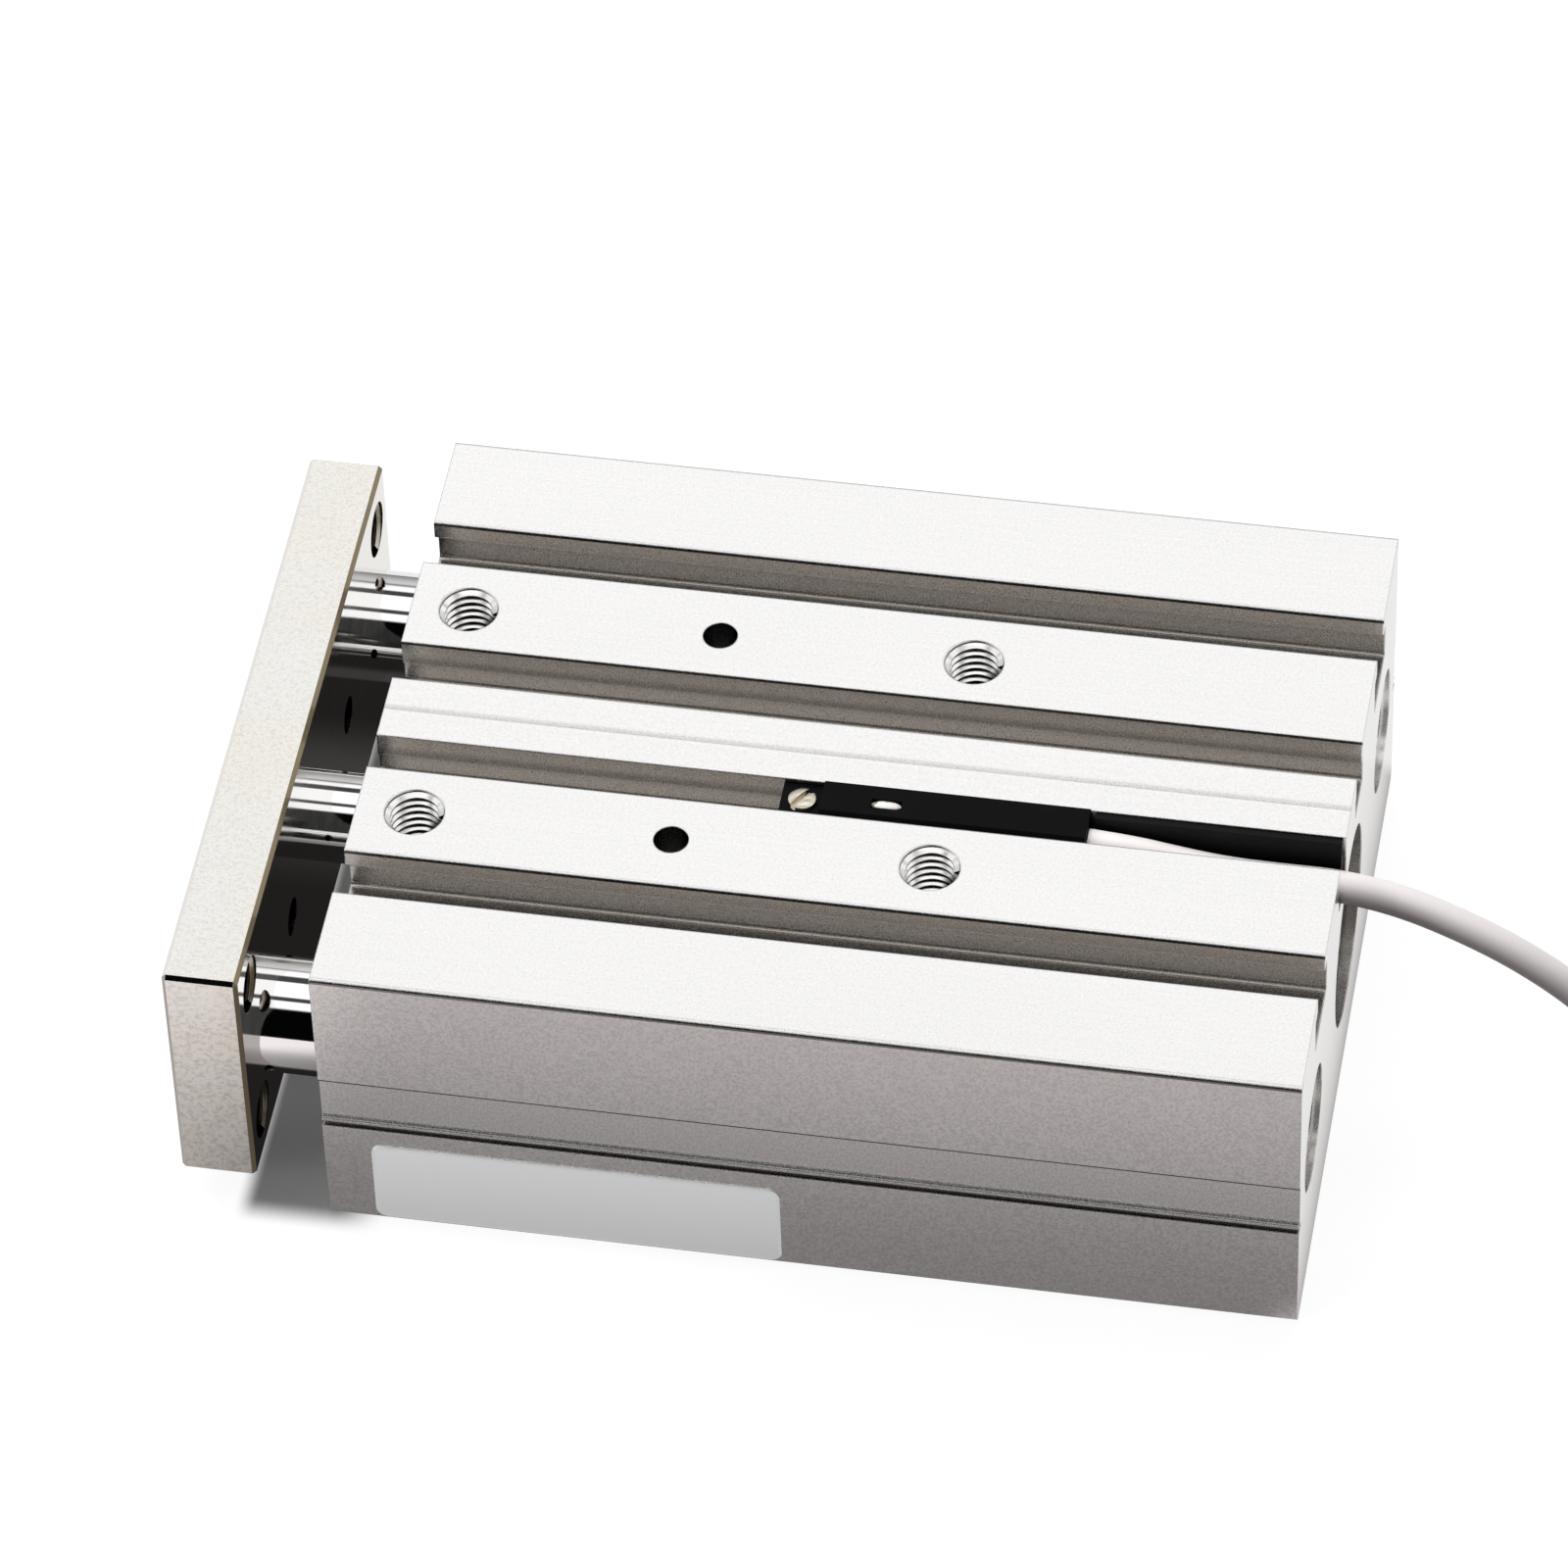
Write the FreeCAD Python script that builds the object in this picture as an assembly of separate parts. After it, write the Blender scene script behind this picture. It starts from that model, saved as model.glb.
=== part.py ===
import FreeCAD, Part
import math
import os

# Guided pneumatic cylinder: an extruded body with one piston rod between two guide rods,
# all three bolted to a front plate, and a switch clamped in a slot on top with its lead.
# Units are millimetres. X runs along the cylinder with the front plate at -X, Z is up,
# and the origin is the centre of the body's bottom face. The plate is drawn fully in.

V = FreeCAD.Vector

# --- Driving sizes -------------------------------------------------------------------
stroke = 50.0
end_length = 33.0            # body length beyond the stroke
body_w = 64.0
body_h = 30.0
bore_d = 16.0
rod_d = 8.0
guide_d = 10.0
guide_pitch = 46.0

plate_w = 62.0
plate_h = 24.5
plate_t = 6.5
plate_gap = 6.5              # open space between plate and body with the plate fully in
plate_edge = 0.35

seat_gap = 0.02              # clearance between parts that are seated on each other
run_gap = 0.03               # radial running clearance of the sliding fits
end_gap = 0.25               # free space at each end of the piston's travel

# Body section
corner_r = 1.0
top_edge_r = 0.4
slot_inner_r = 0.4
t_slot_y = 19.5
t_slot_mouth = 4.6
t_slot_lip = 1.75
t_slot_inner = 7.2
t_slot_depth = 5.5
t_slot_edge_r = 0.25
switch_slot_y = 5.4
switch_slot_mouth = 4.0
switch_slot_lip = 2.7
switch_slot_inner = 4.8
switch_slot_depth = 5.0
mid_bar_drop = 0.3           # the bar between the switch slots lies this much lower
mid_vee_w = 0.5
mid_vee_depth = 0.15
band_low = 12.5              # shallow band along both long sides
band_high = 17.4
band_depth = 0.35
groove_low = 11.7            # narrow groove under the band
groove_high = 12.3
groove_depth = 0.9

# Screw holes of the body
tap_d = 5.0
tap_depth = 12.0
tap_chamfer = 0.12
through_d = 4.3
counterbore_d = 8.0
counterbore_depth = 4.5
hole_first = 5.0             # from the body's front face to the first pair
hole_pitch_x = 44.0
hole_pitch_y = 24.0
pin_d = 3.0
pin_depth = 3.5
pin_from_front = 27.0
port_front = 11.0            # from the body's front face
port_rear = 8.0              # from the body's rear face
port_depth = 5.5             # tapped depth of a port
port_drill_d = 3.0           # from the port's floor into the chamber

# End covers and their rings
cover_step = 0.8             # cover bore radius beyond the cylinder bore's
ring_inset = 1.1
ring_t = 1.0
ring_step = 0.6              # ring groove radius beyond the cover bore's
ring_width = 1.9
ring_lug_r = 1.25
ring_lug_hole_d = 1.1
ring_lug_angle = 15.0        # half the angle between the two lugs
flange_len = 6.9             # rod cover's part in the cover bore
spigot_len = 3.4             # rod cover's part in the cylinder bore
relief_len = 2.2
relief_step = 0.9
head_cover_len = 3.4
head_dimple_d = 5.0
head_dimple_depth = 0.6
oring_d = 1.5
oring_squeeze = 0.02
oring_groove_w = 1.9
flange_groove_at = 3.6       # rod cover's O-ring centre, from its outer face
head_groove_at = 1.7

rod_seal_wall = 2.0
rod_seal_len = 2.6
rod_bush_wall = 1.0
rod_bush_len = 6.0

# Guide rod bearings
bush_wall = 1.0
bush_len = 14.0
bush_inset = 0.6
bush_zone = 33.0             # depth of the bearing bore, from the front face
guide_clear_d = 11.0         # bore behind the bearings
rod_end_inset = 0.6          # the rods end this far inside the rear face
rod_end_chamfer = 0.5
rod_centre_d = 2.0
rod_centre_depth = 1.6

# Screws that hold the three rods to the plate
guide_screw_d = 5.0
guide_screw_head_d = 8.5
guide_screw_head_h = 3.5
guide_screw_hex = 3.0
guide_screw_grip = 9.0       # thread length in the rod
rod_screw_d = 4.0
rod_screw_head_d = 7.0
rod_screw_head_h = 2.8
rod_screw_hex = 2.5
rod_screw_grip = 8.0
head_room = 0.25             # radial space round a screw head in its counterbore
head_sink = 0.3              # a head lies this far under the plate's face
shank_room = 0.25
socket_share = 0.55          # socket depth over head height

plate_tap_d = 5.0
plate_tap_y = 54.0
plate_tap_z = 16.0
plate_pin_d = 3.4
plate_pin_y = 24.0

# Piston
piston_gap = 0.25            # piston's radial clearance in the bore
bumper_t = 1.0
bumper_inner_r = 5.0
bumper_outer_r = 6.6
seal_w = 2.6
seal_depth = 2.0
magnet_w = 3.0
magnet_depth = 2.3
magnet_cover = 0.3           # the magnet lies this far under the piston's rim
wear_w = 2.4
wear_depth = 0.9
tail_d = 5.0                 # piston rod's tail through the piston
nut_af = 8.0
nut_t = 2.4
nut_recess = 2.8
nut_recess_d = 9.7

# Switch, clamped in the near slot
switch_front = 35.2          # from the body's front face
switch_len = 26.2
switch_block_len = 3.5
switch_block_drop = 0.7
switch_top_drop = 0.05
switch_side_gap = 0.05
switch_foot_h = 1.75
switch_edge = 0.6
clamp_d = 2.4
clamp_x = 1.85               # from the switch's front end
clamp_proud = 0.6            # over the low block
clamp_slot_w = 0.5
clamp_slot_depth = 0.6
clamp_slot_turn = 55.0       # degrees from the X axis
window_x = 7.75
window_l = 2.6
window_w = 1.0
window_depth = 0.5
window_proud = 0.05

# Filler strip on the far wall of the near slot, behind the switch
strip_t = 0.7
strip_drop = 0.15
strip_start_gap = 0.4
strip_end_inset = 0.3

# Blank name plate on the near side
label_x = 4.1
label_z = 0.85
label_l = 35.0
label_h = 9.0
label_t = 0.12
label_corner_r = 1.0

# Lead: a tube to the floor and a coil beside the body
lead_d = 2.8
lead_sides = 12              # flats round the lead's section
lead_exit_y = -5.75
lead_exit_z = 28.0
lead_route = [               # from the switch to the coil, chosen by hand
    (23.6, -5.80, 27.80),
    (27.6, -5.88, 27.12),
    (31.8, -5.95, 26.58),
    (36.4, -6.00, 26.52),
    (41.4, -6.03, 26.60),
    (46.6, -6.20, 25.70),
    (51.6, -6.50, 23.85),
    (56.4, -6.90, 21.60),
    (61.0, -7.35, 18.60),
    (65.2, -7.85, 14.90),
    (69.0, -8.35, 10.80),
    (72.8, -8.80, 7.00),
    (77.2, -9.20, 3.95),
    (82.2, -9.50, 2.05),
    (87.4, -9.60, 1.46),
    (92.6, -9.64, 1.44),
    (97.0, -9.60, 1.42),
]
coil_x = 99.0
coil_y = 8.7
coil_inner_turn = 15.4       # middle of the inner turns
coil_outer_turn = 18.3       # middle of the outer turns
coil_spare = 0.05            # the solid stands this much proud of the turns
coil_edge = 0.8
coil_end_gap = (79.0, 152.0)  # degrees, where the upper outer turn has ended
core_d = 1.1
core_start = 80.5
core_sweep = 44.0            # degrees of the coil that the bare cores follow
core_tip = 10.0              # degrees of tinned end
core_spread = 1.2            # between the two cores' axes

# --- Places worked out from the sizes ------------------------------------------------
body_len = stroke + end_length
front = -body_len / 2
rear = body_len / 2
plate_in = front - plate_gap
plate_out = plate_in - plate_t
near = -body_w / 2
axis_h = body_h / 2          # the three rods lie at mid height
bore_r = bore_d / 2
rod_r = rod_d / 2
guide_r = guide_d / 2
guides = {"left": guide_pitch / 2, "right": -guide_pitch / 2}
cover_r = bore_r + cover_step
ring_groove_r = cover_r + ring_step
bush_r = guide_r + run_gap + bush_wall

front_ring = front + ring_inset
rod_cover_x = front_ring + ring_t + seat_gap
shoulder_x = rod_cover_x + flange_len
chamber_front = shoulder_x + spigot_len
rear_ring = rear - ring_inset - ring_t
head_cover_end = rear_ring - seat_gap
chamber_rear = head_cover_end - head_cover_len
piston_total = chamber_rear - chamber_front - stroke - 2 * end_gap
piston_len = piston_total - 2 * bumper_t
piston_front = chamber_rear - end_gap - bumper_t - piston_len
piston_rear = piston_front + piston_len
piston_r = bore_r - piston_gap

holes_x = (front + hole_first, front + hole_first + hole_pitch_x)
holes_y = (-hole_pitch_y / 2, hole_pitch_y / 2)

slot_floor = body_h - switch_slot_depth
slot_lip_z = body_h - switch_slot_lip
slot_mid = -switch_slot_y
switch_x = front + switch_front
switch_rear = switch_x + switch_len
switch_top = body_h - switch_top_drop


# --- Helpers -------------------------------------------------------------------------
def block(x0, x1, y0, y1, z0, z1):
    """A box from one corner to the other."""
    return Part.makeBox(x1 - x0, y1 - y0, z1 - z0, V(x0, y0, z0))


def rod_x(x0, x1, r, y=0.0, z=axis_h):
    """A cylinder along X."""
    return Part.makeCylinder(r, x1 - x0, V(x0, y, z), V(1, 0, 0))


def rod_z(z0, z1, r, x, y):
    """A cylinder along Z."""
    return Part.makeCylinder(r, z1 - z0, V(x, y, z0), V(0, 0, 1))


def ring_x(x0, x1, inner, outer, y=0.0, z=axis_h):
    """A tube along X."""
    return rod_x(x0, x1, outer, y, z).cut(rod_x(x0 - 1, x1 + 1, inner, y, z))


def hex_x(x0, x1, across, y=0.0, z=axis_h):
    """A hexagonal prism along X, across its flats."""
    r = across / math.sqrt(3)
    turns = [math.radians(60 * k) for k in range(7)]
    wire = Part.makePolygon([V(x0, y + r * math.cos(a), z + r * math.sin(a)) for a in turns])
    return Part.Face(wire).extrude(V(x1 - x0, 0, 0))


def section_x(points, x0, x1):
    """A prism along X over a closed outline of (y, z) points."""
    wire = Part.makePolygon([V(x0, y, z) for y, z in points] + [V(x0, *points[0])])
    return Part.Face(wire).extrude(V(x1 - x0, 0, 0))


def near_to(a, b):
    return abs(a - b) < 1e-4


def oring(x, wall_r):
    """An O-ring in a bore of the given radius, with an eight-sided section that spares facets."""
    half = oring_d / 2 - oring_squeeze
    flat = half * math.tan(math.pi / 8)
    middle = wall_r - oring_d / 2
    corners = [(half, flat), (flat, half), (-flat, half), (-half, flat),
               (-half, -flat), (-flat, -half), (flat, -half), (half, -flat)]
    points = [V(x + a, 0, axis_h + middle + b) for a, b in corners]
    section = Part.Face(Part.makePolygon(points + points[:1]))
    return section.revolve(V(0, 0, axis_h), V(1, 0, 0), 360)


def save(name, shape):
    """Writes one node, after a look at whether its solids are sound."""
    if not shape.isValid() or shape.Volume <= 0:
        raise ValueError(name + " is not a sound solid")
    shape.exportStep("parts/" + name + ".step")
    print(f"{name:24s} solids {len(shape.Solids)}  volume {shape.Volume:10.2f}")


# --- Body ----------------------------------------------------------------------------
def body_outline():
    """Half the extrusion's section, from the middle of the top round to the bottom."""
    top = body_h
    mid_top = top - mid_bar_drop
    s_in, s_out = switch_slot_y - switch_slot_mouth / 2, switch_slot_y + switch_slot_mouth / 2
    c_in, c_out = switch_slot_y - switch_slot_inner / 2, switch_slot_y + switch_slot_inner / 2
    t_in, t_out = t_slot_y - t_slot_mouth / 2, t_slot_y + t_slot_mouth / 2
    u_in, u_out = t_slot_y - t_slot_inner / 2, t_slot_y + t_slot_inner / 2
    side = body_w / 2
    return [
        (0, mid_top - mid_vee_depth), (mid_vee_w / 2, mid_top), (s_in, mid_top),
        (s_in, slot_lip_z), (c_in, slot_lip_z), (c_in, slot_floor), (c_out, slot_floor),
        (c_out, slot_lip_z), (s_out, slot_lip_z), (s_out, top),
        (t_in, top), (t_in, top - t_slot_lip), (u_in, top - t_slot_lip),
        (u_in, top - t_slot_depth), (u_out, top - t_slot_depth), (u_out, top - t_slot_lip),
        (t_out, top - t_slot_lip), (t_out, top), (side, top),
        (side, band_high), (side - band_depth, band_high), (side - band_depth, band_low),
        (side, band_low), (side, groove_high), (side - groove_depth, groove_high),
        (side - groove_depth, groove_low), (side, groove_low), (side, 0),
    ]


def round_along(solid, places, radius):
    """Rounds the edges along X that pass through the given (y, z) places, on both sides."""
    edges = []
    for edge in solid.Edges:
        box, point = edge.BoundBox, edge.Vertexes[0].Point
        if near_to(box.XLength, solid.BoundBox.XLength):
            if any(near_to(abs(point.y), y) and near_to(point.z, z) for y, z in places):
                edges.append(edge)
    return solid.makeFillet(radius, edges)


def extrusion():
    """The body's extruded section with its rounded edges."""
    half = body_outline()
    other = [(-y, z) for y, z in reversed(half) if y > 0]
    solid = section_x(half + other, front, rear)
    top, side = body_h, body_w / 2
    lips = [(t_slot_y - t_slot_mouth / 2, top), (t_slot_y + t_slot_mouth / 2, top)]
    floors = [(t_slot_y - t_slot_inner / 2, top - t_slot_depth),
              (t_slot_y + t_slot_inner / 2, top - t_slot_depth),
              (switch_slot_y - switch_slot_inner / 2, slot_floor),
              (switch_slot_y + switch_slot_inner / 2, slot_floor)]
    solid = round_along(solid, lips, t_slot_edge_r)
    solid = round_along(solid, floors, slot_inner_r)
    solid = round_along(solid, [(side, top)], top_edge_r)
    return round_along(solid, [(side, 0)], corner_r)


def body_cuts():
    """Everything that is bored into the extrusion."""
    cuts = [rod_x(front - 1, rear + 1, bore_r)]
    for y in guides.values():
        cuts.append(rod_x(front - 1, front + bush_zone, bush_r, y))
        cuts.append(rod_x(front, rear + 1, guide_clear_d / 2, y))
    cuts.append(rod_x(front - 1, shoulder_x, cover_r))
    cuts.append(rod_x(chamber_rear, rear + 1, cover_r))
    cuts.append(rod_x(front_ring, front_ring + ring_t + seat_gap, ring_groove_r))
    cuts.append(rod_x(rear_ring - seat_gap, rear_ring + ring_t, ring_groove_r))
    tapped = body_h - tap_depth
    for x in holes_x:
        for y in holes_y:
            cuts.append(rod_z(-1, body_h, through_d / 2, x, y))
            cuts.append(rod_z(-1, counterbore_depth, counterbore_d / 2, x, y))
            cuts.append(rod_z(tapped, body_h + 1, tap_d / 2, x, y))
            cuts.append(Part.makeCone(tap_d / 2, tap_d / 2 + tap_chamfer, tap_chamfer,
                                      V(x, y, body_h - tap_chamfer)))
    for y in holes_y:
        cuts.append(rod_z(body_h - pin_depth, body_h + 1, pin_d / 2, front + pin_from_front, y))
    for x in (front + port_front, rear - port_rear):
        cuts.append(rod_z(-1, port_depth, tap_d / 2, x, 0))
        cuts.append(rod_z(-1, axis_h - bore_r / 2, port_drill_d / 2, x, 0))
        cuts.append(Part.makeCone(tap_d / 2 + tap_chamfer, tap_d / 2, tap_chamfer, V(x, 0, 0)))
    return cuts


def cylinder_body():
    solid = extrusion()
    for cut in body_cuts():
        solid = solid.cut(cut)
    return solid.removeSplitter()


# --- End covers ----------------------------------------------------------------------
def snap_ring(x0):
    """A C-shaped ring with two lugs, open at the bottom."""
    outer = ring_groove_r - seat_gap
    inner = cover_r + ring_step - ring_width
    ring = ring_x(x0, x0 + ring_t, inner, outer)
    half = math.radians(ring_lug_angle)
    reach = 2 * outer
    gap = [(0, axis_h), (-reach * math.sin(half), axis_h - reach * math.cos(half)),
           (reach * math.sin(half), axis_h - reach * math.cos(half))]
    ring = ring.cut(section_x(gap, x0 - 1, x0 + ring_t + 1))
    lug_at = inner + ring_width / 2 - ring_lug_r / 2
    holes = []
    for turn in (-half - ring_lug_r / lug_at, half + ring_lug_r / lug_at):
        y, z = lug_at * math.sin(turn), axis_h - lug_at * math.cos(turn)
        ring = ring.fuse(rod_x(x0, x0 + ring_t, ring_lug_r, y, z))
        holes.append(rod_x(x0 - 1, x0 + ring_t + 1, ring_lug_hole_d / 2, y, z))
    for hole in holes:
        ring = ring.cut(hole)
    return ring.removeSplitter()


def rod_cover():
    """The front cover: a flange with an O-ring groove and a spigot that lets the air past."""
    flange_r, spigot_r = cover_r - seat_gap, bore_r - seat_gap
    solid = rod_x(rod_cover_x, shoulder_x - seat_gap, flange_r)
    solid = solid.fuse(rod_x(rod_cover_x, chamber_front - relief_len, spigot_r))
    solid = solid.fuse(rod_x(rod_cover_x, chamber_front, bore_r - relief_step))
    groove = rod_cover_x + flange_groove_at
    solid = solid.cut(ring_x(groove - oring_groove_w / 2, groove + oring_groove_w / 2,
                             cover_r - oring_d, cover_r + 1))
    solid = solid.cut(rod_x(rod_cover_x - 1, chamber_front + 1, rod_r + run_gap + seat_gap))
    solid = solid.cut(rod_x(rod_cover_x - 1, rod_cover_x + rod_seal_len + seat_gap,
                            rod_r + rod_seal_wall + seat_gap))
    solid = solid.cut(rod_x(chamber_front - rod_bush_len, chamber_front + 1,
                            rod_r + rod_bush_wall + seat_gap))
    return solid.removeSplitter()


def head_cover():
    """The rear cover, a disc with an O-ring groove and a turned dimple."""
    solid = rod_x(chamber_rear + seat_gap, head_cover_end, cover_r - seat_gap)
    groove = chamber_rear + head_groove_at
    solid = solid.cut(ring_x(groove - oring_groove_w / 2, groove + oring_groove_w / 2,
                             cover_r - oring_d, cover_r + 1))
    return solid.cut(rod_x(head_cover_end - head_dimple_depth, head_cover_end + 1, head_dimple_d / 2))


# --- Plate, rods and screws ----------------------------------------------------------
def front_plate():
    z0 = axis_h - plate_h / 2
    solid = block(plate_out, plate_in, -plate_w / 2, plate_w / 2, z0, z0 + plate_h)
    solid = solid.makeChamfer(plate_edge, solid.Edges)
    seats = [(y, guide_screw_d, guide_screw_head_d, guide_screw_head_h) for y in guides.values()]
    seats.append((0.0, rod_screw_d, rod_screw_head_d, rod_screw_head_h))
    for y, shank, head, height in seats:
        solid = solid.cut(rod_x(plate_out - 1, plate_in + 1, shank / 2 + shank_room, y))
        solid = solid.cut(rod_x(plate_out - 1, plate_out + head_sink + height, head / 2 + head_room, y))
    for y in (-plate_tap_y / 2, plate_tap_y / 2):
        for z in (axis_h - plate_tap_z / 2, axis_h + plate_tap_z / 2):
            solid = solid.cut(rod_x(plate_out - 1, plate_in + 1, plate_tap_d / 2, y, z))
    for y in (-plate_pin_y / 2, plate_pin_y / 2):
        solid = solid.cut(rod_x(plate_out - 1, plate_in + 1, plate_pin_d / 2, y))
    return solid


def socket_screw(y, shank_d, head_d, head_h, hex_af, grip):
    """A low-head socket screw from the plate's front into a rod."""
    x0 = plate_out + head_sink
    solid = rod_x(x0, x0 + head_h, head_d / 2, y)
    solid = solid.fuse(rod_x(x0, plate_in + grip, shank_d / 2, y))
    return solid.cut(hex_x(x0 - 1, x0 + head_h * socket_share, hex_af, y))


def guide_rod(y):
    """A guide rod with its screw hole at the front and a centre mark at the rear."""
    end = rear - rod_end_inset
    solid = rod_x(plate_in, end, guide_r, y)
    rim = [e for e in solid.Edges if near_to(e.BoundBox.XMin, end) and near_to(e.BoundBox.XMax, end)]
    solid = solid.makeChamfer(rod_end_chamfer, rim)
    solid = solid.cut(rod_x(plate_in - 1, plate_in + guide_screw_grip + end_gap,
                            guide_screw_d / 2 + seat_gap, y))
    mark = Part.makeCone(0, rod_centre_d / 2, rod_centre_depth, V(end - rod_centre_depth, y, axis_h),
                         V(1, 0, 0))
    return solid.cut(mark)


def piston_rod():
    """The piston rod, with a screw hole at the plate and a thinner tail through the piston."""
    solid = rod_x(plate_in, piston_front, rod_r)
    solid = solid.fuse(rod_x(plate_in, piston_rear - nut_recess + nut_t + end_gap, tail_d / 2))
    return solid.cut(rod_x(plate_in - 1, plate_in + rod_screw_grip + end_gap, rod_screw_d / 2 + seat_gap))


# --- Piston --------------------------------------------------------------------------
def piston_grooves():
    """The front edges of the seal, magnet and wear ring grooves, with equal lands between."""
    land = (piston_len - seal_w - magnet_w - wear_w) / 4
    seal = piston_front + land
    magnet = seal + seal_w + land
    return seal, magnet, magnet + magnet_w + land


def piston():
    seal, magnet, wear = piston_grooves()
    solid = rod_x(piston_front, piston_rear, piston_r)
    for x, width, depth in ((seal, seal_w, seal_depth), (magnet, magnet_w, magnet_depth),
                            (wear, wear_w, wear_depth)):
        solid = solid.cut(ring_x(x, x + width, piston_r - depth, piston_r + 1))
    solid = solid.cut(rod_x(piston_front - 1, piston_rear + 1, tail_d / 2 + seat_gap))
    return solid.cut(rod_x(piston_rear - nut_recess, piston_rear + 1, nut_recess_d / 2))


def groove_ring(x, width, depth, outer):
    """A ring that fills a groove of the piston."""
    return ring_x(x + seat_gap, x + width - seat_gap, piston_r - depth + seat_gap, outer)


def piston_nut():
    x0 = piston_rear - nut_recess + seat_gap
    return hex_x(x0, x0 + nut_t, nut_af).cut(rod_x(x0 - 1, x0 + nut_t + 1, tail_d / 2 + seat_gap))


# --- Switch and what is in its slot --------------------------------------------------
def switch_case():
    """The switch's housing: a foot under the slot's lips, a neck in its mouth and a low clamp block."""
    neck = switch_slot_mouth / 2 - switch_side_gap
    foot = switch_slot_inner / 2 - 2 * switch_side_gap
    lip = slot_lip_z - switch_side_gap
    block_top = switch_top - switch_block_drop
    low = [(slot_mid - foot, lip - switch_foot_h), (slot_mid + foot, lip - switch_foot_h),
           (slot_mid + foot, lip), (slot_mid + neck, lip), (slot_mid + neck, block_top),
           (slot_mid - neck, block_top), (slot_mid - neck, lip), (slot_mid - foot, lip)]
    high = [(slot_mid - neck, lip), (slot_mid + neck, lip), (slot_mid + neck, switch_top),
            (slot_mid - neck + switch_edge, switch_top), (slot_mid - neck, switch_top - switch_edge)]
    solid = section_x(low, switch_x, switch_rear)
    solid = solid.fuse(section_x(high, switch_x + switch_block_len, switch_rear))
    solid = solid.cut(rod_z(0, body_h + 1, clamp_d / 2 + run_gap, switch_x + clamp_x, slot_mid))
    x0 = switch_x + window_x
    solid = solid.cut(block(x0, x0 + window_l, slot_mid - window_w / 2, slot_mid + window_w / 2,
                            switch_top - window_depth, body_h + 1))
    return solid.removeSplitter()


def clamp_screw():
    """The slotted set screw that presses on the slot's floor."""
    x = switch_x + clamp_x
    top = switch_top - switch_block_drop + clamp_proud
    solid = rod_z(slot_floor + seat_gap, top, clamp_d / 2, x, slot_mid)
    slit = block(-clamp_d, clamp_d, -clamp_slot_w / 2, clamp_slot_w / 2, 0, clamp_slot_depth + 1)
    slit.rotate(V(0, 0, 0), V(0, 0, 1), clamp_slot_turn)
    slit.translate(V(x, slot_mid, top - clamp_slot_depth))
    return solid.cut(slit)


def switch_window():
    x0 = switch_x + window_x + seat_gap
    half = window_w / 2 - seat_gap
    return block(x0, x0 + window_l - 2 * seat_gap, slot_mid - half, slot_mid + half,
                 switch_top - window_depth, switch_top + window_proud)


def slot_strip():
    """A thin strip on the slot's far wall that keeps the lead on the near side."""
    wall = slot_mid + switch_slot_mouth / 2 - seat_gap
    foot = slot_mid + switch_slot_inner / 2 - seat_gap
    top, lip = body_h - mid_bar_drop - strip_drop, slot_lip_z - seat_gap
    base = slot_floor + slot_inner_r
    points = [(wall - strip_t, base), (foot, base), (foot, lip), (wall, lip), (wall, top),
              (wall - strip_t, top)]
    return section_x(points, switch_rear + strip_start_gap, rear - strip_end_inset)


def name_label():
    """A blank plate with rounded corners on the near long side."""
    x0 = front + label_x
    plate = block(x0, x0 + label_l, near - label_t, near, label_z, label_z + label_h)
    corners = [e for e in plate.Edges if near_to(e.BoundBox.YLength, label_t)]
    return plate.makeFillet(label_corner_r, corners)


# --- Lead ----------------------------------------------------------------------------
def tube(name, points, diameter):
    """A tube along straight runs joined by tangent arcs, each as large as its runs allow."""
    points = [V(*p) for p in points]
    edges, at = [], points[0]
    for before, corner, after in zip(points, points[1:], points[2:]):
        back, ahead = (before - corner), (after - corner)
        turn = math.pi - back.getAngle(ahead)
        cut = 0.45 * min(back.Length, ahead.Length)
        radius = cut / math.tan(turn / 2)
        print(f"{name} turn {math.degrees(turn):5.1f} deg, radius {radius:6.1f}")
        start = corner + back.normalize() * cut
        end = corner + ahead.normalize() * cut
        bisector = (back + ahead).normalize()
        middle = corner + bisector * (radius / math.cos(turn / 2) - radius)
        edges.append(Part.LineSegment(at, start).toShape())
        edges.append(Part.Arc(start, middle, end).toShape())
        at = end
    edges.append(Part.LineSegment(at, points[-1]).toShape())
    path = Part.Wire(edges)
    rim = Part.makeCircle(diameter / 2, points[0], points[1] - points[0])
    profile = Part.makePolygon(rim.discretize(lead_sides + 1))
    solid = path.makePipeShell([profile], True, False)
    share = solid.Volume / (math.pi * diameter ** 2 / 4 * path.Length)
    print(f"{name} length {path.Length:.1f}, volume over section times length {share:.4f}")
    return solid


def sensor_lead():
    start = (switch_rear, lead_exit_y, lead_exit_z)
    return tube("sensor_lead", [start] + lead_route, lead_d)


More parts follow.
